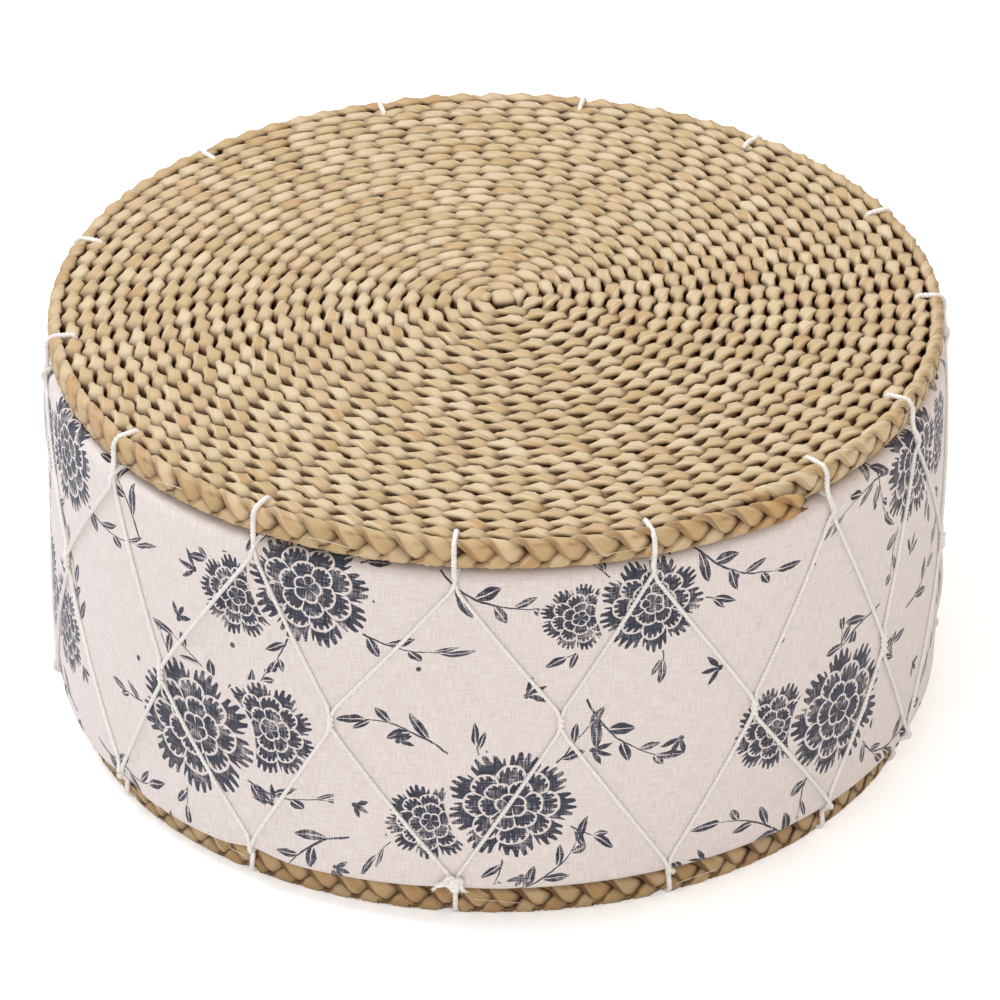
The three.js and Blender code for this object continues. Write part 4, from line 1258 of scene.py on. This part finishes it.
along = addNode(tree, "ShaderNodeMath", along, start, operation="SUBTRACT")
across = addNode(tree, "ShaderNodeMath", within, operation="SINE")
across = addNode(tree, "ShaderNodeMath", across, away, operation="MULTIPLY")
bend = addNode(tree, "ShaderNodeMath", spoke, 0.024, -0.012, operation="MULTIPLY_ADD")
bend = addNode(tree, "ShaderNodeMath", bend, along, operation="MULTIPLY")
across = addNode(tree, "ShaderNodeMath", bend, along, across, operation="MULTIPLY_ADD")
room = []
for operation, halfCell in zip(("COSINE", "SINE"), linen["sprayRoom"]):
    slope = addNode(tree, "ShaderNodeMath", axis, operation=operation)
    slope = addNode(tree, "ShaderNodeMath", slope, operation="ABSOLUTE")
    slope = addNode(tree, "ShaderNodeMath", slope, 0.05, operation="MAXIMUM")
    room.append(addNode(tree, "ShaderNodeMath", halfCell, slope, operation="DIVIDE"))
room = addNode(tree, "ShaderNodeMath", room[0], room[1], operation="MINIMUM")
room = addNode(tree, "ShaderNodeMath", room, start, operation="SUBTRACT")
length = addNode(tree, "ShaderNodeMath", spoke, linen["sprayLength"], 10.0,
                 operation="MULTIPLY_ADD")
length = addNode(tree, "ShaderNodeMath", length, room, operation="MINIMUM")
spray = addNode(tree, "ShaderNodeGroup", node_tree=leafSpray, sockets={
    "Along": along, "Across": across, "Length": length, "Leaf": linen["leaf"]})
spray = addNode(tree, "ShaderNodeMath", spray, clear, operation="MULTIPLY")
ink = addNode(tree, "ShaderNodeMath", ink, spray, operation="MAXIMUM")

# single twigs between the flowers
cells = addNode(tree, "ShaderNodeGroup", output=None, node_tree=scatter, sockets={
    "Place": drawn, "Cell": linen["twigCell"], "Spread": linen["twigSpread"],
    "Row Shift": linen["rowShift"], "Seed": linen["twigSeed"]})
chance = addNode(tree, "ShaderNodeSeparateXYZ", cells["Chance"], output=None)
turn = addNode(tree, "ShaderNodeMath", chance["Y"], tau, operation="MULTIPLY")
local = addNode(tree, "ShaderNodeVectorRotate", sockets={
    "Vector": cells["Local"], "Angle": turn}, rotation_type="Z_AXIS")
split = addNode(tree, "ShaderNodeSeparateXYZ", local, output=None)
across = addNode(tree, "ShaderNodeMath", split["X"], split["X"], operation="MULTIPLY")
across = addNode(tree, "ShaderNodeMath", across, linen["twigBow"], split["Y"],
                 operation="MULTIPLY_ADD")
across = addNode(tree, "ShaderNodeMath", across, 4.0, operation="SUBTRACT")
along = addNode(tree, "ShaderNodeMath", split["X"], linen["twigLength"] / 2)
length = addNode(tree, "ShaderNodeMapRange", chance["X"], 0.0, 1.0, 0.6 * linen["twigLength"],
                 linen["twigLength"])
twig = addNode(tree, "ShaderNodeGroup", node_tree=leafSpray, sockets={
    "Along": along, "Across": across, "Length": length, "Leaf": linen["twigLeaf"]})
twig = addNode(tree, "ShaderNodeMath", twig, clear, operation="MULTIPLY")
ink = addNode(tree, "ShaderNodeMath", ink, twig, operation="MAXIMUM")

# small three-leaf sprigs and seeds in what is left
cells = addNode(tree, "ShaderNodeGroup", output=None, node_tree=scatter, sockets={
    "Place": drawn, "Cell": linen["sprigCell"], "Spread": linen["sprigSpread"],
    "Row Shift": linen["sprigShift"], "Seed": linen["sprigSeed"]})
chance = addNode(tree, "ShaderNodeSeparateXYZ", cells["Chance"], output=None)
turn = addNode(tree, "ShaderNodeMath", chance["Z"], tau, operation="MULTIPLY")
local = addNode(tree, "ShaderNodeVectorRotate", sockets={
    "Vector": cells["Local"], "Angle": turn}, rotation_type="Z_AXIS")
split = addNode(tree, "ShaderNodeSeparateXYZ", local, output=None)
angle = addNode(tree, "ShaderNodeMath", split["Y"], split["X"], operation="ARCTAN2")
angle = addNode(tree, "ShaderNodeMath", angle, operation="ABSOLUTE")
folded = addNode(tree, "ShaderNodeMath", angle, 0.85, operation="SUBTRACT")
folded = addNode(tree, "ShaderNodeMath", folded, operation="ABSOLUTE")
folded = addNode(tree, "ShaderNodeMath", folded, angle, operation="MINIMUM")
away = addNode(tree, "ShaderNodeVectorMath", local, output="Value", operation="LENGTH")
along = addNode(tree, "ShaderNodeMath", folded, operation="COSINE")
along = addNode(tree, "ShaderNodeMath", along, away, operation="MULTIPLY")
across = addNode(tree, "ShaderNodeMath", folded, operation="SINE")
across = addNode(tree, "ShaderNodeMath", across, away, operation="MULTIPLY")
size = addNode(tree, "ShaderNodeMapRange", chance["Y"], 0.0, 1.0, linen["sprigSmall"],
               linen["sprigLarge"])
along = addNode(tree, "ShaderNodeMath", along, size, operation="DIVIDE")
belly = addNode(tree, "ShaderNodeMath", along, along, operation="MULTIPLY")
belly = addNode(tree, "ShaderNodeMath", along, belly, operation="SUBTRACT")
belly = addNode(tree, "ShaderNodeMath", belly, 6.0, operation="MULTIPLY")
leaf = addNode(tree, "ShaderNodeMath", belly, across, operation="SUBTRACT")
leaf = addNode(tree, "ShaderNodeMapRange", leaf, 0.0, 0.25)
picked = addNode(tree, "ShaderNodeMath", chance["X"], 0.55, operation="GREATER_THAN")
leaf = addNode(tree, "ShaderNodeMath", leaf, picked, operation="MULTIPLY")
seed = addNode(tree, "ShaderNodeMapRange", away, 1.3, 1.6, 1.0, 0.0)
picked = addNode(tree, "ShaderNodeMath", chance["X"], 0.3, operation="GREATER_THAN")
seed = addNode(tree, "ShaderNodeMath", seed, picked, operation="MULTIPLY")
leaf = addNode(tree, "ShaderNodeMath", leaf, seed, operation="MAXIMUM")
leaf = addNode(tree, "ShaderNodeMath", leaf, clear, operation="MULTIPLY")
ink = addNode(tree, "ShaderNodeMath", ink, leaf, operation="MAXIMUM")

# threads: long thin noise both ways for slubs, and the fine weave itself
slubs = []
fine, coarse = 1 / linen["slubWidth"], 1 / linen["slubLength"]
for stretch in ((coarse, fine, 1.0), (fine, coarse, 1.0)):
    drawnOut = addNode(tree, "ShaderNodeVectorMath", place, stretch, operation="MULTIPLY")
    slubs.append(addNode(tree, "ShaderNodeTexNoise", output="Fac", sockets={
        "Vector": drawnOut, "Scale": 1.0, "Detail": 2.0, "Roughness": 0.6}))
slub = addNode(tree, "ShaderNodeMath", slubs[0], slubs[1], operation="ADD")
slub = addNode(tree, "ShaderNodeMath", slub, 0.5, operation="MULTIPLY")
mottle = addNode(tree, "ShaderNodeTexNoise", output="Fac", sockets={
    "Vector": place, "Scale": 1 / linen["mottle"], "Detail": 3.0})
cover = addNode(tree, "ShaderNodeMath", mottle, 0.7, slub, operation="MULTIPLY_ADD")
cover = addNode(tree, "ShaderNodeMapRange", cover, 1.08, 0.88, 0.4, 1.0)
ink = addNode(tree, "ShaderNodeMath", ink, cover, operation="MULTIPLY")
slubShare = addNode(tree, "ShaderNodeMapRange", slub, 0.38, 0.62, 1.0, 0.0)
groundColour = addNode(tree, "ShaderNodeMixRGB", slubShare, colour(linen["ground"]),
                       colour(linen["slub"]))
wornShare = addNode(tree, "ShaderNodeMapRange", slub, 0.42, 0.62)
inkColour = addNode(tree, "ShaderNodeMixRGB", wornShare, colour(linen["ink"]),
                    colour(linen["inkWorn"]))
clothColour = addNode(tree, "ShaderNodeMixRGB", ink, groundColour, inkColour)
weave = []
for axisName in ("X", "Y"):
    line = addNode(tree, "ShaderNodeSeparateXYZ", place, output=axisName)
    line = addNode(tree, "ShaderNodeMath", line, math.pi / linen["threads"],
                   operation="MULTIPLY")
    weave.append(addNode(tree, "ShaderNodeMath", line, operation="SINE"))
weave = addNode(tree, "ShaderNodeMath", weave[0], weave[1], operation="MULTIPLY")
relief = addNode(tree, "ShaderNodeMath", weave, 0.25, slub, operation="MULTIPLY_ADD")
bump = addNode(tree, "ShaderNodeBump", 0.5, 0.18 * mm, sockets={"Height": relief})
shader = addNode(tree, "ShaderNodeBsdfPrincipled", sockets={
    "Base Color": clothColour, "Roughness": linen["roughness"], "Normal": bump,
    "Specular IOR Level": 0.15, "Sheen Weight": 0.15})
addNode(tree, "ShaderNodeOutputMaterial", shader, output=None)

bandPiece = makePiece("side_cloth_band_sewn", bandSkin, printedCloth, "printed_cotton",
                      "side_cloth_band")
print("cloth band", len(bandSkin.polygons), "faces")

# Sweep of a three-ply section, turned as it goes

tree, sizes = newTree("twistedCord", {
    "Cord Line": "Geometry", "Sides": "Int", "Ply Depth": "Float", "Ply Turn": "Float",
    "Cotton": "Material",
}, {"Cord": "Geometry"})
place = addNode(tree, "GeometryNodeInputPosition")
part = addNode(tree, "ShaderNodeSeparateXYZ", place, output=None)
angle = addNode(tree, "ShaderNodeMath", part["Y"], part["X"], operation="ARCTAN2")
angle = addNode(tree, "ShaderNodeMath", angle, 3.0, operation="MULTIPLY")
lobe = addNode(tree, "ShaderNodeMath", angle, operation="COSINE")
lobe = addNode(tree, "ShaderNodeMath", lobe, sizes["Ply Depth"], 1.0, operation="MULTIPLY_ADD")
lobed = addNode(tree, "ShaderNodeVectorMath", place, sockets={"Scale": lobe}, operation="SCALE")
ring = addNode(tree, "GeometryNodeCurvePrimitiveCircle", sizes["Sides"], sockets={"Radius": 1.0})
ring = addNode(tree, "GeometryNodeSetPosition", ring, None, lobed)
along = addNode(tree, "GeometryNodeSplineParameter", output="Length")
twist = addNode(tree, "ShaderNodeMath", along, sizes["Ply Turn"], operation="DIVIDE")
twist = addNode(tree, "ShaderNodeMath", twist, tau, operation="MULTIPLY")
line = addNode(tree, "GeometryNodeSetCurveTilt", sizes["Cord Line"], None, twist)
cord = addNode(tree, "GeometryNodeCurveToMesh", line, ring, sockets={
    "Fill Caps": True, "Scale": addNode(tree, "GeometryNodeInputRadius")})
cord = addNode(tree, "GeometryNodeSetShadeSmooth", cord, None, True)
cord = addNode(tree, "GeometryNodeSetMaterial", cord, None, sizes["Cotton"])
addNode(tree, "NodeGroupOutput", cord, output=None)
cordTree = tree

cotton = {
    "bright": "#fdfcf9",
    "dull": "#f2ede6",
    "fuzz": 0.7,
    "fuzzHeight": 0.2,
    "roughness": 0.85,
    "sides": 9,
    "plyDepth": 0.14,
}

# Three-ply cotton twine: soft off-white, a dull fuzzy skin, plies shown by the section itself
cottonCord, tree = newMaterial("plyCottonCord")
place = addNode(tree, "ShaderNodeTexCoord", output="Object")
fuzz = addNode(tree, "ShaderNodeTexNoise", output="Fac", sockets={
    "Vector": place, "Scale": 1 / (cotton["fuzz"] * mm), "Detail": 2.0})
share = addNode(tree, "ShaderNodeMapRange", fuzz, 0.3, 0.7)
tint = addNode(tree, "ShaderNodeMixRGB", share, colour(cotton["dull"]), colour(cotton["bright"]))
bump = addNode(tree, "ShaderNodeBump", 0.35, cotton["fuzzHeight"] * mm,
               sockets={"Height": fuzz})
shader = addNode(tree, "ShaderNodeBsdfPrincipled", sockets={
    "Base Color": tint, "Roughness": cotton["roughness"], "Normal": bump,
    "Specular IOR Level": 0.2, "Sheen Weight": 0.2})
addNode(tree, "ShaderNodeOutputMaterial", shader, output=None)

for name, line in cordLines.items():
    atHook = np.abs(line[:, 2] - lacing["middle"]) - lacing["hookFrom"]
    atHook = np.clip(atHook / lacing["hookBlend"], 0, 1)
    radii = lacing["legRadius"] + (lacing["hookRadius"] - lacing["legRadius"]) * atHook
    carrier = curveThrough("cordLine", [line], [radii], closed=True)
    mesh = runTree(cordTree, carrier, {
        "Sides": cotton["sides"], "Ply Depth": cotton["plyDepth"],
        "Ply Turn": lacing["plyTurn"] * mm, "Cotton": cottonCord})
    bpy.data.objects.remove(carrier)
    makePiece(name + "_twine", mesh, cottonCord, "cotton_cord", name)
    print(name, len(line), "steps,", len(mesh.polygons), "faces,",
          round(len(line) * lacing["step"] / 1000, 2), "m")

# Fine thread that sews each mat's outer ring, seen in short lengths on its edge

sewing = {
    "colour": "#e9dcc4",
    "stitches": 11,
    # degrees: from the tail to the first stitch, round which they stand, and along each one
    "from": 4,
    "span": 345,
    "turns": (3.0, 8.0),
    "heights": (4.5, 10.0),
    "bow": 0.9,
    "proud": 3.2,
    "sink": 1.2,
    "radius": 0.28,
    "plyTurn": 3.0,
    "points": 24,
    "seed": 4,
}

# Undyed cotton sewing thread: cream, too fine to show its plies
sewingThread, tree = newMaterial("undyedSewingThread")
shader = addNode(tree, "ShaderNodeBsdfPrincipled", sockets={
    "Base Color": colour(sewing["colour"]), "Roughness": 0.75, "Specular IOR Level": 0.25})
addNode(tree, "ShaderNodeOutputMaterial", shader, output=None)

chance = np.random.default_rng(sewing["seed"])
for mat in (seatMat, baseMat):
    stitches = []
    for k in range(sewing["stitches"]):
        share = (k + chance.uniform(0, 0.6)) / sewing["stitches"]
        begin = mat["tailAngle"] + sewing["from"] + sewing["span"] * share
        count = sewing["points"]
        angles = np.linspace(begin, begin + chance.uniform(*sewing["turns"]), count)
        heights = np.linspace(*chance.uniform(*sewing["heights"], 2), count)
        sunk = sewing["sink"] * np.linspace(-1, 1, count) ** 6
        heights += sewing["bow"] * np.sin(np.linspace(0, math.pi, count))
        stitches.append(np.array([
            polar(ringRadius(mat, angle, 0) + sewing["proud"] - deep, angle, mat["low"] + z)
            + mat["pole"] for angle, deep, z in zip(angles, sunk, heights)]))
    carrier = curveThrough("stitchLine", stitches, [sewing["radius"]] * len(stitches))
    mesh = runTree(cordTree, carrier, {
        "Sides": 6, "Ply Depth": 0.08, "Ply Turn": sewing["plyTurn"] * mm,
        "Cotton": sewingThread})
    bpy.data.objects.remove(carrier)
    makePiece(mat["name"] + "_thread", mesh, sewingThread, "cotton_cord", mat["node"])

# Knot low at the front where the cord's ends are tied, with two short frayed tails

knot = {
    "hook": 2,
    "up": 2.2,
    "halfWidth": 3.7,
    "halfHeight": 3.3,
    "halfDepth": 1.2,
    "strand": 1.4,
    "standOff": 0.7,
    "plyTurn": 5.0,
    "leftTail": (-8.8, -3.0),
    "rightTail": (4.6, -3.6),
    "frays": 9,
    "frayLength": 2.3,
    "frayRadius": 0.2,
    "seed": 5,
}
knotAngle = hookAngle(knot["hook"], -1)
knotRadius = clothRadius(lacing["baseYoke"]) + knot["halfDepth"] + knot["strand"]
knotRadius += knot["standOff"]


def knotPlace(sideways, up, out):
    # a point beside, above and in front of the knot's middle
    return around(knotAngle, sideways, knotRadius + out, lacing["baseYoke"] + knot["up"] + up)


# an overhand knot is a trefoil, whose plain form is 2.7 across each way
turns = np.linspace(0, tau, 60)[:-1]
trefoil = [knotPlace(knot["halfWidth"] * (math.sin(t) + 2 * math.sin(2 * t)) / 2.7,
                     knot["halfHeight"] * (math.cos(t) - 2 * math.cos(2 * t)) / 2.7,
                     -knot["halfDepth"] * math.sin(3 * t)) for t in turns]
trefoil = np.array(trefoil + trefoil[:1])
strandLines, strandRadii = [trefoil], [knot["strand"]]
chance = np.random.default_rng(knot["seed"])
for tailX, tailZ in (knot["leftTail"], knot["rightTail"]):
    shares = np.linspace(0, 1, 14)
    tail = np.array([knotPlace(tailX * t, tailZ * t * t, -0.8 * t) for t in shares])
    strandLines.append(tail)
    strandRadii.append(knot["strand"] * (1 - 0.35 * shares ** 6))
    heading = (tail[-1] - tail[-3]) / np.linalg.norm(tail[-1] - tail[-3])
    for _ in range(knot["frays"]):
        spread = chance.normal(0, 0.42, 3)
        curl = chance.normal(0, 0.3, 3)
        root = tail[-2] + spread
        steps = np.linspace(0, 1, 6)[:, None]
        reach = knot["frayLength"] * chance.uniform(0.6, 1.2)
        strandLines.append(root + reach * steps * (heading + spread * 0.8)
                           + reach * steps ** 2 * curl)
        strandRadii.append(knot["frayRadius"])
carrier = curveThrough("knotLine", strandLines, strandRadii)
mesh = runTree(cordTree, carrier, {
    "Sides": cotton["sides"], "Ply Depth": cotton["plyDepth"],
    "Ply Turn": knot["plyTurn"] * mm, "Cotton": cottonCord})
bpy.data.objects.remove(carrier)
makePiece("lacing_knot_tied", mesh, cottonCord, "cotton_cord", "lacing_knot")
print("knot", len(mesh.polygons), "faces")

# Inside, out of sight: three foam discs in a wadding wrap, and a calico lining by each mat

filling = {
    "foamRadius": 215.0,
    "waddingInner": 215.6,
    "waddingOuter": 223.2,
    "foamLow": 20.2,
    "foamHigh": 198.8,
    "layers": 3,
    "layerGap": 0.6,
    "edgeRound": 4.0,
    "waddingRound": 5.0,
    # base and seat
    "liningLevels": (17.0, 201.9),
    "liningRadii": (189.5, 194.5),
    "liningThickness": 0.8,
    "liningRipple": 0.35,
    "columns": 128,
}


def lathe(name, outline, columns, closed=False):
    # turns an outline of radius and height round the axis; an end on the axis becomes a pole
    outline = np.array(outline, float)
    turned = np.linspace(0, tau, columns, endpoint=False)
    shape = bmesh.new()
    rings = []
    for radius, z in outline:
        if radius < 0.01:
            rings.append([shape.verts.new((0, 0, z * mm))] * columns)
        else:
            rings.append([shape.verts.new((radius * math.cos(t) * mm, radius * math.sin(t) * mm,
                                           z * mm)) for t in turned])
    pairs = list(zip(rings[:-1], rings[1:])) + ([(rings[-1], rings[0])] if closed else [])
    for one, other in pairs:
        for i in range(columns):
            j = (i + 1) % columns
            face = dict.fromkeys([one[i], one[j], other[j], other[i]])
            if len(face) > 2:
                shape.faces.new(list(face))
    bmesh.ops.recalc_face_normals(shape, faces=shape.faces)
    for face in shape.faces:
        face.smooth = True
    mesh = bpy.data.meshes.new(name)
    shape.to_mesh(mesh)
    shape.free()
    return mesh


def roundedEdge(radius, low, high, bend):
    # side of a disc from its low edge to its high edge, bulged a little by the load
    arc = np.linspace(0, math.pi / 2, 5)
    side = [(radius - bend + bend * math.sin(a), low + bend - bend * math.cos(a)) for a in arc]
    return side + [(radius - bend + bend * math.cos(a), high - bend + bend * math.sin(a))
                   for a in arc]


foam = {"dark": "#9aa394", "pale": "#c3cdbf", "cell": 1.1}

# Polyurethane foam: dull grey-green, full of fine open cells
foamCells, tree = newMaterial("openCellFoam")
place = addNode(tree, "ShaderNodeTexCoord", output="Object")
cells = addNode(tree, "ShaderNodeTexVoronoi", output="Distance", sockets={
    "Vector": place, "Scale": 1 / (foam["cell"] * mm)})
tint = addNode(tree, "ShaderNodeMapRange", cells, 0.1, 0.6)
tint = addNode(tree, "ShaderNodeMixRGB", tint, colour(foam["dark"]), colour(foam["pale"]))
bump = addNode(tree, "ShaderNodeBump", 0.6, 0.4 * mm, sockets={"Height": cells})
shader = addNode(tree, "ShaderNodeBsdfPrincipled", sockets={
    "Base Color": tint, "Roughness": 0.95, "Normal": bump, "Specular IOR Level": 0.1})
addNode(tree, "ShaderNodeOutputMaterial", shader, output=None)

wadding = {"dull": "#dcdbd6", "bright": "#f7f6f3", "tuft": 6}

# Polyester wadding: white, cloudy and matt, its fibres laid every way
waddingFluff, tree = newMaterial("polyesterWadding")
place = addNode(tree, "ShaderNodeTexCoord", output="Object")
fluff = addNode(tree, "ShaderNodeTexNoise", output="Fac", sockets={
    "Vector": place, "Scale": 1 / (wadding["tuft"] * mm), "Detail": 5.0, "Roughness": 0.7})
tint = addNode(tree, "ShaderNodeMapRange", fluff, 0.3, 0.7)
tint = addNode(tree, "ShaderNodeMixRGB", tint, colour(wadding["dull"]),
               colour(wadding["bright"]))
bump = addNode(tree, "ShaderNodeBump", 0.7, 1.0 * mm, sockets={"Height": fluff})
shader = addNode(tree, "ShaderNodeBsdfPrincipled", sockets={
    "Base Color": tint, "Roughness": 1.0, "Normal": bump, "Specular IOR Level": 0.1,
    "Sheen Weight": 0.3})
addNode(tree, "ShaderNodeOutputMaterial", shader, output=None)

calico = {"cream": "#eadfc9", "speck": "#a58a62", "speckSize": 1.6, "thread": 0.5}

# Unbleached calico: cream plain weave with small brown specks of seed
calicoWeave, tree = newMaterial("unbleachedCalico")
place = addNode(tree, "ShaderNodeTexCoord", output="Object")
split = addNode(tree, "ShaderNodeSeparateXYZ", place, output=None)
weave = []
for axisName in ("X", "Y"):
    line = addNode(tree, "ShaderNodeMath", split[axisName], math.pi / (calico["thread"] * mm),
                   operation="MULTIPLY")
    weave.append(addNode(tree, "ShaderNodeMath", line, operation="SINE"))
weave = addNode(tree, "ShaderNodeMath", weave[0], weave[1], operation="MULTIPLY")
speck = addNode(tree, "ShaderNodeTexNoise", output="Fac", sockets={
    "Vector": place, "Scale": 1 / (calico["speckSize"] * mm), "Detail": 1.0})
speck = addNode(tree, "ShaderNodeMapRange", speck, 0.7, 0.76)
tint = addNode(tree, "ShaderNodeMixRGB", speck, colour(calico["cream"]),
               colour(calico["speck"]))
bump = addNode(tree, "ShaderNodeBump", 0.4, 0.15 * mm, sockets={"Height": weave})
shader = addNode(tree, "ShaderNodeBsdfPrincipled", sockets={
    "Base Color": tint, "Roughness": 0.9, "Normal": bump, "Specular IOR Level": 0.15})
addNode(tree, "ShaderNodeOutputMaterial", shader, output=None)

gaps = filling["layerGap"] * (filling["layers"] - 1)
layerHeight = (filling["foamHigh"] - filling["foamLow"] - gaps) / filling["layers"]
for layer in range(filling["layers"]):
    low = filling["foamLow"] + layer * (layerHeight + filling["layerGap"])
    side = roundedEdge(filling["foamRadius"], low, low + layerHeight, filling["edgeRound"])
    mesh = lathe("foam", [(0, low), (90, low), *side, (90, low + layerHeight),
                          (0, low + layerHeight)], filling["columns"])
    piece = makePiece(f"foam_disc_{layer + 1}_cut", mesh, foamCells, "foam",
                      f"foam_disc_{layer + 1}")

low, high = filling["foamLow"] + 0.4, filling["foamHigh"] - 0.4
outside = roundedEdge(filling["waddingOuter"], low, high, filling["waddingRound"])
heights = np.linspace(high, low, 12)
inside = [(filling["waddingInner"], z) for z in heights]
mesh = lathe("wadding", outside + inside, filling["columns"], closed=True)
piece = makePiece("wadding_wrap_rolled", mesh, waddingFluff, "wadding", "wadding_wrap")

for name, level, reach, onto in zip(
        ("base_lining_disc", "seat_lining_disc"), filling["liningLevels"],
        filling["liningRadii"], ("base_mat_1", "foam_disc_3_cut")):
    half = filling["liningThickness"] / 2
    radii = np.linspace(0, reach, 20)
    waves = filling["liningRipple"] * np.sin(radii * 0.16)
    upper = [(r, level + half + w) for r, w in zip(radii, waves)]
    lower = [(r, level - half + w) for r, w in zip(radii, waves)]
    mesh = lathe("lining", upper + lower[::-1], filling["columns"])
    piece = makePiece(name + "_laid", mesh, calicoWeave, "calico", name)
print("filling and linings ready")
